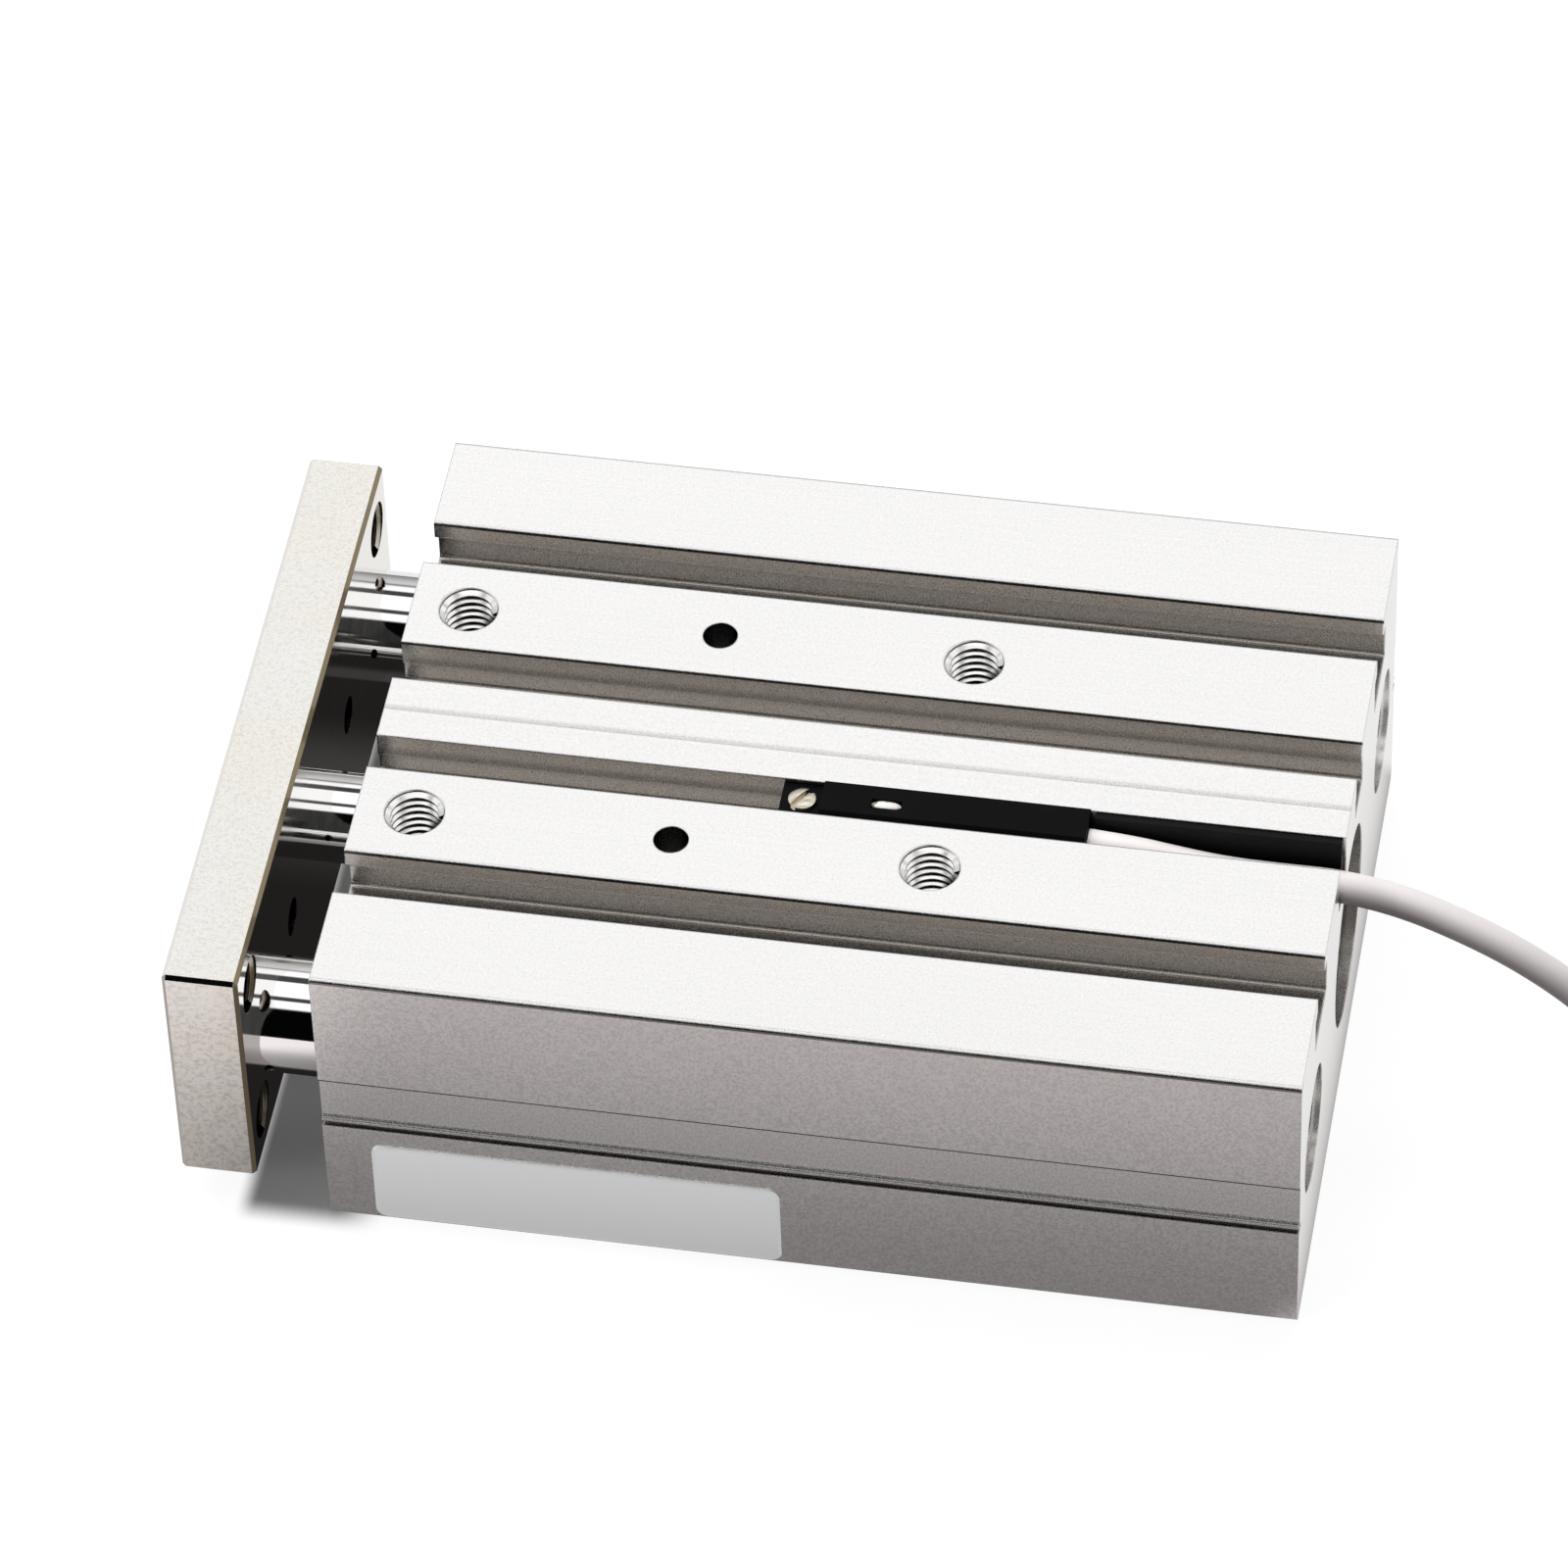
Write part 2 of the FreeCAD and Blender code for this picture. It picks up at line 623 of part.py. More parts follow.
def lead_coil():
    """The outer shape of the coiled rest of the lead: two layers, the upper one short of a full turn."""
    half = lead_d / 2 + coil_spare
    inner, outer = coil_inner_turn - half, coil_outer_turn + half
    layer = lead_d
    ring = rod_z(0, 2 * layer, outer, coil_x, coil_y).cut(rod_z(-1, 2 * layer + 1, inner, coil_x, coil_y))
    rims = [e for e in ring.Edges if near_to(e.BoundBox.ZLength, 0)]
    ring = ring.makeChamfer(coil_edge, rims)
    first, last = coil_end_gap
    middle = (coil_inner_turn + coil_outer_turn) / 2
    wedge = Part.makeCylinder(outer + 1, layer + 1, V(0, 0, layer), V(0, 0, 1), last - first)
    wedge = wedge.cut(rod_z(layer - 1, 2 * layer + 2, middle, 0, 0))
    wedge.rotate(V(0, 0, 0), V(0, 0, 1), first)
    wedge.translate(V(coil_x, coil_y, 0))
    return ring.cut(wedge)


def core(radius, start, sweep):
    """One bare core of eight-sided section, laid on the lower turns where the upper one has ended."""
    turns = [math.radians(22.5 + 45 * k) for k in range(9)]
    corner = core_d / 2 / math.cos(math.pi / 8)
    wire = Part.makePolygon([V(radius + corner * math.cos(a), 0, corner * math.sin(a)) for a in turns])
    solid = Part.Face(wire).revolve(V(0, 0, 0), V(0, 0, 1), sweep)
    solid.rotate(V(0, 0, 0), V(0, 0, 1), start)
    solid.translate(V(coil_x, coil_y, lead_d + core_d / 2))
    return solid


# --- Nodes ---------------------------------------------------------------------------
def main():
    os.makedirs("parts", exist_ok=True)
    seal, magnet, wear = piston_grooves()
    rod_hole = rod_r + run_gap

    save("cylinder_body", cylinder_body())
    save("rod_cover", rod_cover())
    save("rod_cover_oring", oring(rod_cover_x + flange_groove_at, cover_r))
    save("rod_seal", ring_x(rod_cover_x, rod_cover_x + rod_seal_len, rod_hole, rod_r + rod_seal_wall))
    save("rod_bush", ring_x(chamber_front - rod_bush_len, chamber_front, rod_hole, rod_r + rod_bush_wall))
    save("front_snap_ring", snap_ring(front_ring))
    save("head_cover", head_cover())
    save("head_cover_oring", oring(chamber_rear + head_groove_at, cover_r))
    save("rear_snap_ring", snap_ring(rear_ring))
    for side, y in guides.items():
        hole, outer = guide_r + run_gap, bush_r - seat_gap
        outer_bush = front + bush_inset
        inner_bush = front + bush_zone - bush_len
        save("guide_bush_front_" + side, ring_x(outer_bush, outer_bush + bush_len, hole, outer, y))
        save("guide_bush_inner_" + side, ring_x(inner_bush, inner_bush + bush_len, hole, outer, y))
        save("guide_rod_" + side, guide_rod(y))
        save("guide_rod_screw_" + side, socket_screw(y, guide_screw_d, guide_screw_head_d,
                                                     guide_screw_head_h, guide_screw_hex,
                                                     guide_screw_grip))
    save("name_label", name_label())

    save("front_plate", front_plate())
    save("piston_rod", piston_rod())
    save("piston_rod_screw", socket_screw(0.0, rod_screw_d, rod_screw_head_d, rod_screw_head_h,
                                          rod_screw_hex, rod_screw_grip))
    save("piston", piston())
    save("piston_seal", groove_ring(seal, seal_w, seal_depth, bore_r - run_gap))
    save("piston_magnet", groove_ring(magnet, magnet_w, magnet_depth, piston_r - magnet_cover))
    save("piston_wear_ring", groove_ring(wear, wear_w, wear_depth, bore_r - run_gap))
    save("piston_nut", piston_nut())
    save("piston_bumper_front", ring_x(piston_front - bumper_t, piston_front, bumper_inner_r,
                                       bumper_outer_r))
    save("piston_bumper_rear", ring_x(piston_rear, piston_rear + bumper_t, bumper_inner_r,
                                      bumper_outer_r))

    save("switch_case", switch_case())
    save("switch_clamp_screw", clamp_screw())
    save("switch_window", switch_window())
    save("slot_strip", slot_strip())
    save("sensor_lead", sensor_lead())
    save("lead_coil", lead_coil())
    bare = core_sweep - core_tip
    radii = (coil_outer_turn - core_spread / 2, coil_outer_turn + core_spread / 2)
    save("lead_core_brown", core(radii[0], core_start, bare))
    save("lead_core_blue", core(radii[1], core_start, bare))
    tips = [core(radius, core_start + bare, core_tip) for radius in radii]
    save("lead_core_tips", Part.makeCompound(tips))


main()
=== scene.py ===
"""Guided air cylinder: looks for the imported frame.

The body, plate, rods and covers keep their own solids and get their finishes here. The
threads, the clamp screw, the lens of the switch and the lead are modelled here.
"""

import logging
import math
from dataclasses import dataclass, replace
from enum import Enum
from typing import Callable, Optional, Sequence, Union

import bpy
from mathutils import Matrix, Vector


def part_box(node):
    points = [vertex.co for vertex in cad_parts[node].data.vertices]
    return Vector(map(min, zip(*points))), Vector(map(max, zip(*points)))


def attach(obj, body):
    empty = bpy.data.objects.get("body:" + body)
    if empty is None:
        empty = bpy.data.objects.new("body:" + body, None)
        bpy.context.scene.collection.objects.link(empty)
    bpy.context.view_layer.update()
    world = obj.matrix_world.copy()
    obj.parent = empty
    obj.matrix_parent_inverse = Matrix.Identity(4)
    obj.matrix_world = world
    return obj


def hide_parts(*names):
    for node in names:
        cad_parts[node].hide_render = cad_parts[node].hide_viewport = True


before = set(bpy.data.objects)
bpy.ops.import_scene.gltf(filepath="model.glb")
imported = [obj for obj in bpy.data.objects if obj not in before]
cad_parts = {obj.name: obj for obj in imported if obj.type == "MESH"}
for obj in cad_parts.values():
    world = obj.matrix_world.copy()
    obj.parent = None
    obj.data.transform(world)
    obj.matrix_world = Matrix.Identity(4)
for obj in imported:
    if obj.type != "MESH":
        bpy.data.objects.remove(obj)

LOG = logging.getLogger("cylinder")
MM = 0.001
Triple = tuple[float, float, float]
Piece = bpy.types.Object
Material = bpy.types.Material
Socket = bpy.types.NodeSocket
Value = Union[float, Triple, Socket]

# The drilling that the body and the plate share with their threads, in millimetres.
TAP_R, PIN_R, PLATE_PIN_R = 2.5, 1.5, 1.7
TAP_X, PIN_X, HOLE_Y = (5, 49), 27, 12
PORT_FRONT, PORT_REAR = 11, 8
PLATE_TAP_Y, PLATE_TAP_Z, PLATE_PIN_Y = 27, 8, 12


class Body(Enum):
    """The two rigid bodies of the frame."""

    CYLINDER = "cylinder"
    SLIDE = "slide"


class Blend(Enum):
    """How two colours are laid over each other."""

    MIX = "MIX"
    MULTIPLY = "MULTIPLY"


# --- Node sheets ---
class NodeSheet:
    """Adds nodes to one tree and links them."""

    def __init__(self, tree: bpy.types.NodeTree) -> None:
        """Empties a tree.

        Args:
            tree: the tree to fill.
        """
        self.tree = tree
        tree.nodes.clear()

    def node(self, kind: str, inputs: Optional[dict[Union[str, int], Value]] = None,
             **settings: Union[str, int]) -> bpy.types.Node:
        """Adds a node.

        Args:
            kind: its type.
            inputs: what goes into its inputs, by their names or numbers.
            settings: its own settings by name.

        Returns:
            The node.
        """
        node = self.tree.nodes.new(f"ShaderNode{kind}")
        for name, setting in settings.items():
            setattr(node, name, setting)
        for key, value in (inputs or {}).items():
            self.feed(node.inputs[key], value)
        return node

    def feed(self, socket: Socket, value: Value) -> None:
        """Links a socket, or sets its constant.

        Args:
            socket: the input to fill.
            value: a number, a colour, a vector or another node's output.
        """
        if isinstance(value, bpy.types.NodeSocket):
            self.tree.links.new(value, socket)
        elif isinstance(value, tuple) and len(socket.default_value) == 4:
            socket.default_value = (*value, 1.0)
        else:
            socket.default_value = value

    def split(self, vector: Socket) -> tuple[Socket, Socket, Socket]:
        """The X, Y and Z of a vector."""
        return tuple(self.node("SeparateXYZ", {0: vector}).outputs)

    def count(self, kind: str, a: Value, b: Value = 0.0, c: Value = 0.0) -> Socket:
        """One step of arithmetic.

        Args:
            kind: the name of the operation.
            a: the first number.
            b: the second number.
            c: the third number, where the operation takes one.

        Returns:
            The result.
        """
        return self.node("Math", {0: a, 1: b, 2: c}, operation=kind).outputs[0]

    def product(self, first: Value, *factors: Value) -> Value:
        """The product of several numbers."""
        for factor in factors:
            first = self.count("MULTIPLY", first, factor)
        return first

    def spread(self, value: Socket, low: float, high: float, to_low: float, to_high: float,
               smooth: bool = True) -> Socket:
        """Maps a range of numbers to another, within its ends.

        Args:
            value: the number.
            low: one end of its range.
            high: the other end.
            to_low: what the first end becomes.
            to_high: what the other end becomes.
            smooth: whether it starts and ends softly.

        Returns:
            The new number.
        """
        inputs = dict(enumerate((value, low, high, to_low, to_high)))
        way = "SMOOTHSTEP" if smooth else "LINEAR"
        return self.node("MapRange", inputs, interpolation_type=way).outputs[0]

    def mix(self, share: Value, a: Value, b: Value) -> Socket:
        """Mixes two numbers."""
        return self.node("Mix", {0: share, 2: a, 3: b}, data_type="FLOAT").outputs[0]


class ShaderSheet(NodeSheet):
    """The nodes of one material with a principled shader."""

    def __init__(self, name: str) -> None:
        """Makes a material with the shader and its output.

        Args:
            name: the material's name.
        """
        self.material = bpy.data.materials.new(name)
        self.material.use_nodes = True
        super().__init__(self.material.node_tree)
        self.shader = self.node("BsdfPrincipled")
        self.node("OutputMaterial", {"Surface": self.shader.outputs["BSDF"]})
        self.place = self.node("TexCoord").outputs["Object"]

    def set(self, name: str, value: Value) -> None:
        """Fills one input of the principled shader."""
        self.feed(self.shader.inputs[name], value)

    def stretch(self, scale: Triple) -> Socket:
        """The object's own coordinates, scaled along X, Y and Z."""
        return self.node("Mapping", {"Vector": self.place, "Scale": scale}).outputs["Vector"]

    def noise(self, place: Socket, scale: float, detail: float = 2.0, rough: float = 0.5) -> Socket:
        """A noise pattern's value at a place."""
        inputs = {"Vector": place, "Scale": scale, "Detail": detail, "Roughness": rough}
        return self.node("TexNoise", inputs).outputs["Fac"]

    def cells(self, place: Socket, scale: float) -> Socket:
        """The distance to the nearest point of a scatter of points."""
        return self.node("TexVoronoi", {"Vector": place, "Scale": scale}).outputs["Distance"]

    def facing(self) -> tuple[Socket, Socket, Socket]:
        """The surface's normal along the object's own X, Y and Z."""
        return self.split(self.node("TexCoord").outputs["Normal"])

    def turned(self, side: Socket) -> Socket:
        """1 where a part of the normal is long, so that the face is square to that axis."""
        return self.spread(self.count("ABSOLUTE", side), 0.7, 0.95, 0, 1)

    def round_walls(self, a: Socket, b: Socket, holes: Sequence[Triple], near: float, far: float) -> Value:
        """1 on the walls of round holes, and 0 away from them.

        Args:
            a: one coordinate across the holes.
            b: the other one.
            holes: both coordinates and the radius of each hole.
            near: how far past the radius the walls end.
            far: where 0 is reached.

        Returns:
            The share.
        """
        inside: Value = 0.0
        for hole_a, hole_b, radius in holes:
            away = self.count("POWER", self.count("SUBTRACT", a, hole_a), 2.0)
            away = self.count("ADD", away, self.count("POWER", self.count("SUBTRACT", b, hole_b), 2.0))
            wall = self.spread(away, (radius + near) ** 2, (radius + far) ** 2, 1, 0)
            inside = self.count("MAXIMUM", inside, wall)
        return inside

    def grey(self, value: Socket) -> Socket:
        """A grey of the given brightness, as a colour."""
        return self.node("CombineColor", {0: value, 1: value, 2: value}).outputs[0]

    def colour(self, share: Value, a: Value, b: Value, blend: Blend = Blend.MIX) -> Socket:
        """Mixes two colours.

        Args:
            share: how much of the second colour shows.
            a: the first colour.
            b: the second colour.
            blend: how they are mixed.

        Returns:
            The mixed colour.
        """
        inputs = {0: share, 6: a, 7: b}
        return self.node("Mix", inputs, data_type="RGBA", blend_type=blend.value).outputs[2]

    def shaded(self, tone: Value, value: Socket) -> Socket:
        """A colour, made brighter or darker by a factor."""
        return self.colour(1.0, tone, self.grey(value), Blend.MULTIPLY)

    def edge(self, radius: float) -> Socket:
        """The normal of edges that are rounded by a small radius."""
        return self.node("Bevel", {"Radius": radius}, samples=6).outputs["Normal"]

    def bump(self, height: Socket, depth: float, strength: float, normal: Optional[Socket] = None) -> Socket:
        """A normal that a height pattern tilts.

        Args:
            height: the pattern, about 0 to 1.
            depth: the height of one unit, in metres.
            strength: how much of the tilt is kept.
            normal: the normal to start from.

        Returns:
            The tilted normal.
        """
        inputs = {"Strength": strength, "Distance": depth, "Height": height}
        if normal is not None:
            inputs["Normal"] = normal
        return self.node("Bump", inputs).outputs["Normal"]


# --- Finishes ---
@dataclass(frozen=True)
class Finish:
    """A surface finish that makes its own material.

    Attributes:
        name: the material's name.
        tone: its colour.
        rough: its roughness.
    """

    name: str
    tone: Triple
    rough: float

    def make(self) -> Material:
        """Builds the material.

        Returns:
            The finished material.
        """
        sheet = ShaderSheet(self.name)
        self.dress(sheet)
        return sheet.material

    def dress(self, sheet: ShaderSheet) -> None:
        """Fills the shader. Each kind of finish has its own way."""
        raise NotImplementedError


@dataclass(frozen=True)
class DrawnAlloy(Finish):
    """Anodised extrusion: a fine grain, traces of drawing, painted shade in the slots, holes and grooves,
    milled ends.

    Attributes:
        milled: the tone of the end faces.
        slot_shade_tone: the painted shade on the slots' walls, darker again in the chamber below the lips.
        hole_shade_tone: the painted shade on the drilled holes' walls.
        groove_shade_tone: the painted shade in narrow grooves, on steps and along the top edges.
        holes: the X, the distance from the middle plane and the radius of each drilled hole.
        skin: the height of the top faces.
        slots_reach: how far from the middle plane the slots lie.
        sides_from: how far from the middle plane the long sides' grooves start.
        shade_lines: the heights, in millimetres, between which painted shade darkens the long sides, and its
            strength.
    """

    milled: Triple = (0.95, 0.94, 0.925)
    # Painted shade on the slots' walls.
    slot_shade_tone: Triple = (0.97, 0.93, 0.89)
    # Painted shade on the drilled holes' walls.
    hole_shade_tone: Triple = (0.20, 0.195, 0.19)
    # Painted shade in narrow grooves, on steps and along the top edges.
    groove_shade_tone: Triple = (0.12, 0.11, 0.10)
    shade_lines: tuple[Triple, ...] = (
        (11.7, 12.34, 0.6), (12.42, 12.56, 0.3), (17.38, 17.52, 1.0), (29.6, 29.82, 0.85))
    holes: tuple[Triple, ...] = ()
    skin: float = 0.0
    slots_reach: float = 24.0 * MM
    sides_from: float = 30.8 * MM

    def in_hole(self, sheet: ShaderSheet) -> Value:
        """1 on the walls of the drilled holes, and 0 elsewhere."""
        x, y, z = sheet.split(sheet.place)
        walls = sheet.round_walls(x, sheet.count("ABSOLUTE", y), self.holes, 0.06 * MM, 0.12 * MM)
        return sheet.product(walls, sheet.spread(z, self.skin - 0.3 * MM, self.skin - 0.1 * MM, 1, 0))

    def on_top(self, sheet: ShaderSheet) -> Socket:
        """1 over the width that the slots take up, and 0 elsewhere."""
        across = sheet.count("ABSOLUTE", sheet.split(sheet.place)[1])
        return sheet.spread(across, self.slots_reach, self.slots_reach + 1 * MM, 1, 0)

    def on_side(self, sheet: ShaderSheet) -> Socket:
        """1 on the long sides and in their grooves, and 0 elsewhere."""
        across = sheet.count("ABSOLUTE", sheet.split(sheet.place)[1])
        return sheet.spread(across, self.sides_from, self.sides_from + 0.2 * MM, 0, 1)

    def in_slot(self, sheet: ShaderSheet) -> Value:
        """1 on the walls and floors of the slots, and 0 elsewhere."""
        height = sheet.split(sheet.place)[2]
        sunk = sheet.spread(height, self.skin - 0.7 * MM, self.skin - 0.34 * MM, 1, 0)
        return sheet.product(self.on_top(sheet), sunk)

    def in_shade_line(self, sheet: ShaderSheet) -> Socket:
        """1 where shade is painted: in the long sides' narrow grooves and steps and on the middle bar's lips,
        and 0 elsewhere.
        """
        height = sheet.split(sheet.place)[2]
        inside: Value = 0.0
        for low, high, strength in self.shade_lines:
            above = sheet.spread(height, (low - 0.05) * MM, (low + 0.03) * MM, 0, strength)
            below = sheet.spread(height, (high - 0.03) * MM, (high + 0.05) * MM, 1, 0)
            inside = sheet.count("MAXIMUM", inside, sheet.product(above, below))
        above = sheet.spread(height, self.skin - 0.38 * MM, self.skin - 0.3 * MM, 0, 1)
        below = sheet.spread(height, self.skin - 0.1 * MM, self.skin - 0.03 * MM, 1, 0)
        lip = sheet.product(above, below, self.on_top(sheet), sheet.turned(sheet.facing()[1]))
        return sheet.count("MAXIMUM", sheet.product(inside, self.on_side(sheet)), lip)

    def dress(self, sheet: ShaderSheet) -> None:
        """Fills the shader with grain, traces of drawing, the end faces' cutter marks and painted shade in
        the slots, holes and grooves.
        """
        lines = sheet.noise(sheet.stretch((6, 2600, 2600)), 1.0, 3, 0.6)
        grain = sheet.noise(sheet.place, 4300, 2, 0.65)
        cloud = sheet.noise(sheet.stretch((12, 30, 30)), 1.0, 2)
        sweep = sheet.noise(sheet.stretch((10, 900, 60)), 1.0, 3, 0.7)
        side, across, _ = sheet.facing()
        ends = sheet.turned(side)
        flank = sheet.product(sheet.turned(across), self.on_side(sheet))
        slot = self.in_slot(sheet)
        dull = tuple(0.975 * c for c in self.tone)
        tone = sheet.colour(sheet.spread(cloud, 0.3, 0.7, 0, 1), self.tone, dull)
        height = sheet.split(sheet.place)[2]
        # Painted shade in the slots: the walls darken, and the chamber below the lips darkens more.
        chamber_shade = sheet.spread(height, self.skin - 2.4 * MM, self.skin - 1.4 * MM, 1, 0)
        walls = sheet.colour(chamber_shade, self.slot_shade_tone, tuple(0.65 * c for c in self.slot_shade_tone))
        speck = sheet.mix(flank, 1.0, sheet.spread(grain, 0.34, 0.66, 0.84, 1.1))
        shade = sheet.product(speck, sheet.spread(lines, 0.25, 0.75, 0.985, 1.01))
        tone = sheet.shaded(sheet.colour(slot, tone, walls), shade)
        tone = sheet.colour(ends, tone, self.milled)
        # Painted shade in the grooves and steps and along the lips.
        tone = sheet.colour(self.in_shade_line(sheet), tone, self.groove_shade_tone)
        # Painted shade on the drilled holes' walls.
        tone = sheet.colour(self.in_hole(sheet), tone, self.hole_shade_tone)
        sheet.set("Base Color", tone)
        sheet.set("Metallic", 1.0)
        rough = sheet.spread(grain, 0.2, 0.8, self.rough - 0.04, self.rough + 0.05)
        sheet.set("Roughness", sheet.mix(ends, rough, 0.24))
        relief = sheet.count("MULTIPLY_ADD", lines, 0.25, sheet.mix(slot, grain, 0.5))
        relief = sheet.mix(ends, relief, sweep)
        sheet.set("Normal", sheet.bump(relief, 0.012 * MM, 0.3, sheet.edge(0.2 * MM)))


@dataclass(frozen=True)
class BlastedSteel(Finish):
    """Nickel-plated plate: pearly blasted rim, smooth ground faces towards the rods and the load, painted
    shade in the small holes and on the chamfer towards the rods.

    Attributes:
        mirror: the roughness of the ground faces.
        ground_tone: the tone of the ground faces and the chamfers.
        inner_shade_tone: the painted shade on the chamfer on the rods' side.
        bore_shade_tone: the painted shade on the small holes' walls.
        bores: the distance from the middle plane, the height and the radius of each small hole.
    """

    mirror: float = 0.06
    ground_tone: Triple = (0.88, 0.85, 0.81)
    # Painted shade on the chamfer that faces the rods.
    inner_shade_tone: Triple = (0.40, 0.33, 0.22)
    # Painted shade on the small holes' walls.
    bore_shade_tone: Triple = (0.05, 0.04, 0.035)
    bores: tuple[Triple, ...] = ()

    def in_bore(self, sheet: ShaderSheet) -> Value:
        """1 on the walls of the small holes, and 0 elsewhere."""
        _, y, z = sheet.split(sheet.place)
        walls = sheet.round_walls(sheet.count("ABSOLUTE", y), z, self.bores, 0.04 * MM, 0.1 * MM)
        side = sheet.count("ABSOLUTE", sheet.facing()[0])
        return sheet.product(walls, sheet.spread(side, 0.5, 0.9, 1, 0))

    def dress(self, sheet: ShaderSheet) -> None:
        """Fills the shader with the blasted skin and the ground faces."""
        grit = sheet.noise(sheet.place, 2600, 3, 0.62)
        dimple = sheet.cells(sheet.place, 2300)
        wash = sheet.noise(sheet.place, 70, 3, 0.6)
        side, across, up = (sheet.count("ABSOLUTE", axis) for axis in sheet.facing())
        ground = sheet.spread(side, 0.86, 0.98, 0, 1)
        square = sheet.count("MAXIMUM", sheet.count("MAXIMUM", side, across), up)
        chamfer = sheet.spread(square, 0.75, 0.9, 1, 0)
        smooth = sheet.count("MAXIMUM", ground, chamfer)
        inner = sheet.product(chamfer, sheet.spread(sheet.facing()[0], 0.3, 0.6, 0, 1))
        warm = tuple(c * k for c, k in zip(self.tone, (0.985, 0.96, 0.92)))
        tone = sheet.colour(sheet.spread(wash, 0.3, 0.7, 0, 1), self.tone, warm)
        tone = sheet.shaded(tone, sheet.spread(grit, 0.32, 0.62, 0.78, 1.06))
        tone = sheet.colour(smooth, tone, self.ground_tone)
        # Painted shade on the chamfer that faces the rods.
        tone = sheet.colour(inner, tone, self.inner_shade_tone)
        # Painted shade on the small holes' walls.
        sheet.set("Base Color", sheet.colour(self.in_bore(sheet), tone, self.bore_shade_tone))
        sheet.set("Metallic", 1.0)
        skin = sheet.spread(grit, 0.3, 0.7, self.rough - 0.08, self.rough + 0.08)
        smear = sheet.spread(wash, 0.3, 0.75, self.mirror, self.mirror + 0.07)
        sheet.set("Roughness", sheet.mix(ground, sheet.mix(chamfer, skin, 0.12), smear))
        relief = sheet.count("ADD", grit, sheet.count("MULTIPLY", dimple, 0.5))
        relief = sheet.mix(smooth, relief, sheet.noise(sheet.place, 260, 1))
        sheet.set("Normal", sheet.bump(relief, 0.03 * MM, 0.4, sheet.edge(0.04 * MM)))


@dataclass(frozen=True)
class GroundChrome(Finish):
    """Hard chrome on a ground rod, with the faint rings that grinding leaves."""

    def dress(self, sheet: ShaderSheet) -> None:
        """Fills the shader with the mirror and its faint rings."""
        rings = sheet.noise(sheet.stretch((5200, 40, 40)), 1.0, 2)
        smear = sheet.noise(sheet.place, 160, 2)
        dull = tuple(0.93 * c for c in self.tone)
        sheet.set("Base Color", sheet.colour(sheet.spread(smear, 0.3, 0.8, 0, 1), self.tone, dull))
        sheet.set("Metallic", 1.0)
        sheet.set("Roughness", sheet.spread(rings, 0.2, 0.8, self.rough, self.rough + 0.05))
        sheet.set("Normal", sheet.bump(rings, 0.001 * MM, 0.2))


@dataclass(frozen=True)
class CutMetal(Finish):
    """Turned or tapped metal with cutter marks, rounded edges and a slight stain.

    Attributes:
        mark: marks per metre along X, Y and Z.
        worn: the tone of the stain.
    """

    mark: Triple = (4200, 300, 300)
    worn: Triple = (0.3, 0.28, 0.25)

    def dress(self, sheet: ShaderSheet) -> None:
        """Fills the shader with marks and stain."""
        marks = sheet.noise(sheet.stretch(self.mark), 1.0, 2, 0.6)
        stain = sheet.noise(sheet.place, 330, 4, 0.65)
        tone = sheet.colour(sheet.spread(stain, 0.5, 0.8, 0, 0.45), self.tone, self.worn)
        sheet.set("Base Color", tone)
        sheet.set("Metallic", 1.0)
        sheet.set("Roughness", sheet.spread(marks, 0.2, 0.8, self.rough - 0.05, self.rough + 0.1))
        sheet.set("Normal", sheet.bump(marks, 0.006 * MM, 0.3, sheet.edge(0.07 * MM)))


@dataclass(frozen=True)
class Moulded(Finish):
    """Plastic or rubber with a fine moulded grain.

    Attributes:
        grain: grains per metre.
        depth: the grain's height, in metres.
        dust: how much a lighter bloom shows.
        shine: the level of the gloss.
        under: the tone of the painted shade on what faces down, darker than the rest.
    """

    grain: float = 4200.0
    depth: float = 0.006 * MM
    dust: float = 0.25
    shine: float = 0.45
    under: Optional[Triple] = None

    def dress(self, sheet: ShaderSheet) -> None:
        """Fills the shader with grain, a faint bloom and, where under is set, painted shade on what faces
        down.
        """
        fine = sheet.noise(sheet.place, self.grain, 2, 0.6)
        bloom = sheet.noise(sheet.place, 240, 3, 0.6)
        light = tuple(min(1.0, 1.25 * c + 0.012) for c in self.tone)
        tone = sheet.colour(sheet.spread(bloom, 0.4, 0.8, 0, self.dust), self.tone, light)
        if self.under is not None:
            # Painted shade: what faces down is darker.
            tone = sheet.colour(sheet.spread(sheet.facing()[2], -0.4, 0.9, 0, 1), self.under, tone)
        sheet.set("Base Color", tone)
        sheet.set("Roughness", sheet.spread(fine, 0.2, 0.8, self.rough - 0.06, self.rough + 0.08))
        sheet.set("Specular IOR Level", self.shine)
        sheet.set("Normal", sheet.bump(fine, self.depth, 0.4, sheet.edge(0.08 * MM)))


@dataclass(frozen=True)
class Lens(Finish):
    """Milky clear plastic that glows a little where light goes into it, with painted glints in its tone."""

    def dress(self, sheet: ShaderSheet) -> None:
        """Fills the shader with painted glints, bright and dark patches in the tone, under a clear skin."""
        # Painted glints: bright patches, and dark ones between them.
        cloud = sheet.noise(sheet.place, 1500, 2)
        deep = tuple(c * k for c, k in zip(self.tone, (0.3, 0.24, 0.18)))
        sheet.set("Base Color", sheet.colour(sheet.spread(cloud, 0.5, 0.6, 0, 1), self.tone, deep))
        sheet.set("Roughness", sheet.spread(cloud, 0.3, 0.7, self.rough, self.rough + 0.1))
        sheet.set("Subsurface Weight", 0.3)
        sheet.set("Subsurface Scale", 0.5 * MM)
        sheet.set("Coat Weight", 0.6)


